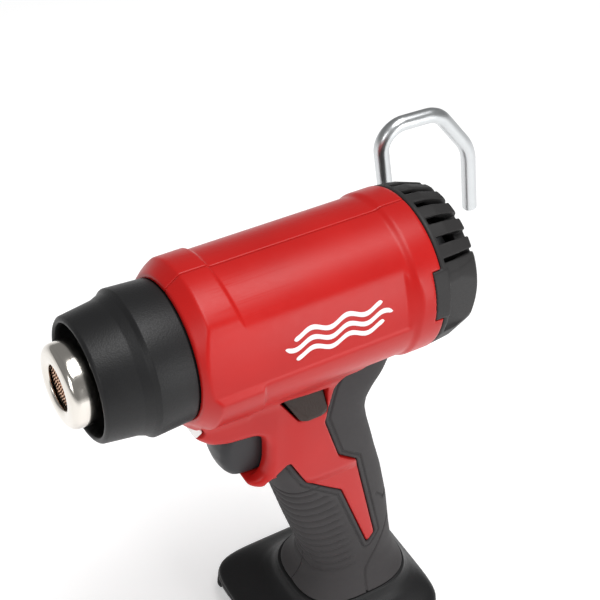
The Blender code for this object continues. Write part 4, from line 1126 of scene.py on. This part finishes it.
def panel_point(u, across, proud):
    out = math.sqrt(PANEL_CROWN ** 2 - across ** 2) - (PANEL_CROWN - PANEL_LEVEL) + proud
    y = out * math.cos(PANEL_TILT) - across * math.sin(PANEL_TILT)
    z = out * math.sin(PANEL_TILT) + across * math.cos(PANEL_TILT)
    return u, y, z


bm = bmesh.new()
MARK_SECTION = (
    (-1, -0.3), (-1, MARK_PROUD - 0.08), (-0.85, MARK_PROUD), (0, MARK_PROUD + 0.01),
    (0.85, MARK_PROUD), (1, MARK_PROUD - 0.08), (1, -0.3),
)
STRIPS = ((3.9, 26.0, 64.0), (0.0, 22.0, 68.0), (-3.9, 26.0, 64.0))
for middle, start, end in STRIPS:
    rings = []
    count = 96
    for step in range(count + 1):
        t = step / count
        u = start + (end - start) * t
        swing = middle + MARK_WAVE * math.sin(2 * math.pi * (u - 22.0) / 15.3)
        half = MARK_HALF * min(1.0, 0.15 + 5.0 * math.sqrt(max(0.0, t * (1 - t))))
        ring = [panel_point(u, swing + side * half, proud) for side, proud in MARK_SECTION]
        rings.append([bm.verts.new(place(*p)) for p in ring])
    for ring, following in zip(rings, rings[1:]):
        for k in range(len(ring)):
            n = (k + 1) % len(ring)
            bm.faces.new((ring[k], ring[n], following[n], following[k]))
    bm.faces.new(rings[0])
    bm.faces.new(rings[-1])
bmesh.ops.recalc_face_normals(bm, faces=bm.faces)
mark = from_bmesh("warm_air_mark", bm, white_ink)
mark.data.set_sharp_from_angle(angle=math.radians(50))
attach(mark, "housing")

# %% [markdown]
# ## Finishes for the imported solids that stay
#
# The inner parts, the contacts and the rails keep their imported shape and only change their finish.

# %% Materials of the remaining solids
KEPT = {
    dark_steel: ("motor", "heat_shield", "intake_filter", "hook_retainer", "left_rail", "right_rail"),
    nozzle_steel: ("motor_shaft", "trigger_spring"),
    ceramic: ("heater_core", "heater_base", "thermal_cutout"),
    mica: ("mica_sleeve", "front_bulkhead"),
    board: ("control_board", "led_board"),
    aluminium: ("heat_sink",),
    brass: ("switch_plunger", "negative_blade", "data_blade", "positive_blade"),
    red_lead: ("positive_lead",),
    plain_black: ("air_duct", "fan_ring", "motor_mount", "fan_impeller", "switch_body", "negative_lead"),
    black: ("terminal_block",),
}
for finish, nodes in KEPT.items():
    for node in nodes:
        NODES[node].data.materials.clear()
        NODES[node].data.materials.append(finish.material)
print(sum(len(nodes) for nodes in KEPT.values()), "packed solids have a new finish")

# %% [markdown]
# ## Floor and light
#
# A pale floor that glows a little, one large soft light high above and two weaker ones on the camera's
# left and right give long soft highlights along the barrel. A dim white world keeps the shadows open.

# %% Studio
floor_finish = Finish("studio_floor", (0.93, 0.93, 0.93), 0.75, Emission_Strength=0.34)
floor_finish.set("Emission Color", (1.0, 1.0, 1.0, 1.0))
bm = bmesh.new()
bmesh.ops.create_grid(bm, x_segments=1, y_segments=1, size=6.0)
bmesh.ops.translate(bm, vec=(0, 0, cad_box[0][2] - 0.0005), verts=bm.verts)
floor = from_bmesh("studio_floor", bm, floor_finish, smooth=False)


def soft_light(name, where, power, size):
    data = bpy.data.lights.new(name, "AREA")
    data.shape = "RECTANGLE"
    data.size, data.size_y = size
    data.energy = power
    light = bpy.data.objects.new(name, data)
    toward = place(50, 0, -40) - Vector(where)
    light.matrix_world = Matrix.Translation(where) @ toward.to_track_quat("-Z", "Y").to_matrix().to_4x4()
    bpy.context.scene.collection.objects.link(light)


soft_light("top_light", (-0.15, 0.2, 1.35), 13.0, (0.9, 0.6))
soft_light("left_light", (0.95, 0.55, 0.75), 3.0, (0.4, 0.6))
soft_light("right_light", (-0.45, 1.0, 0.35), 3.6, (0.3, 0.6))
world = bpy.data.worlds.new("studio")
world.use_nodes = True
world.node_tree.nodes["Background"].inputs["Color"].default_value = (1.0, 1.0, 1.0, 1.0)
world.node_tree.nodes["Background"].inputs["Strength"].default_value = 0.24
bpy.context.scene.world = world
bpy.context.scene.view_settings.view_transform = "Standard"
print("studio ready")
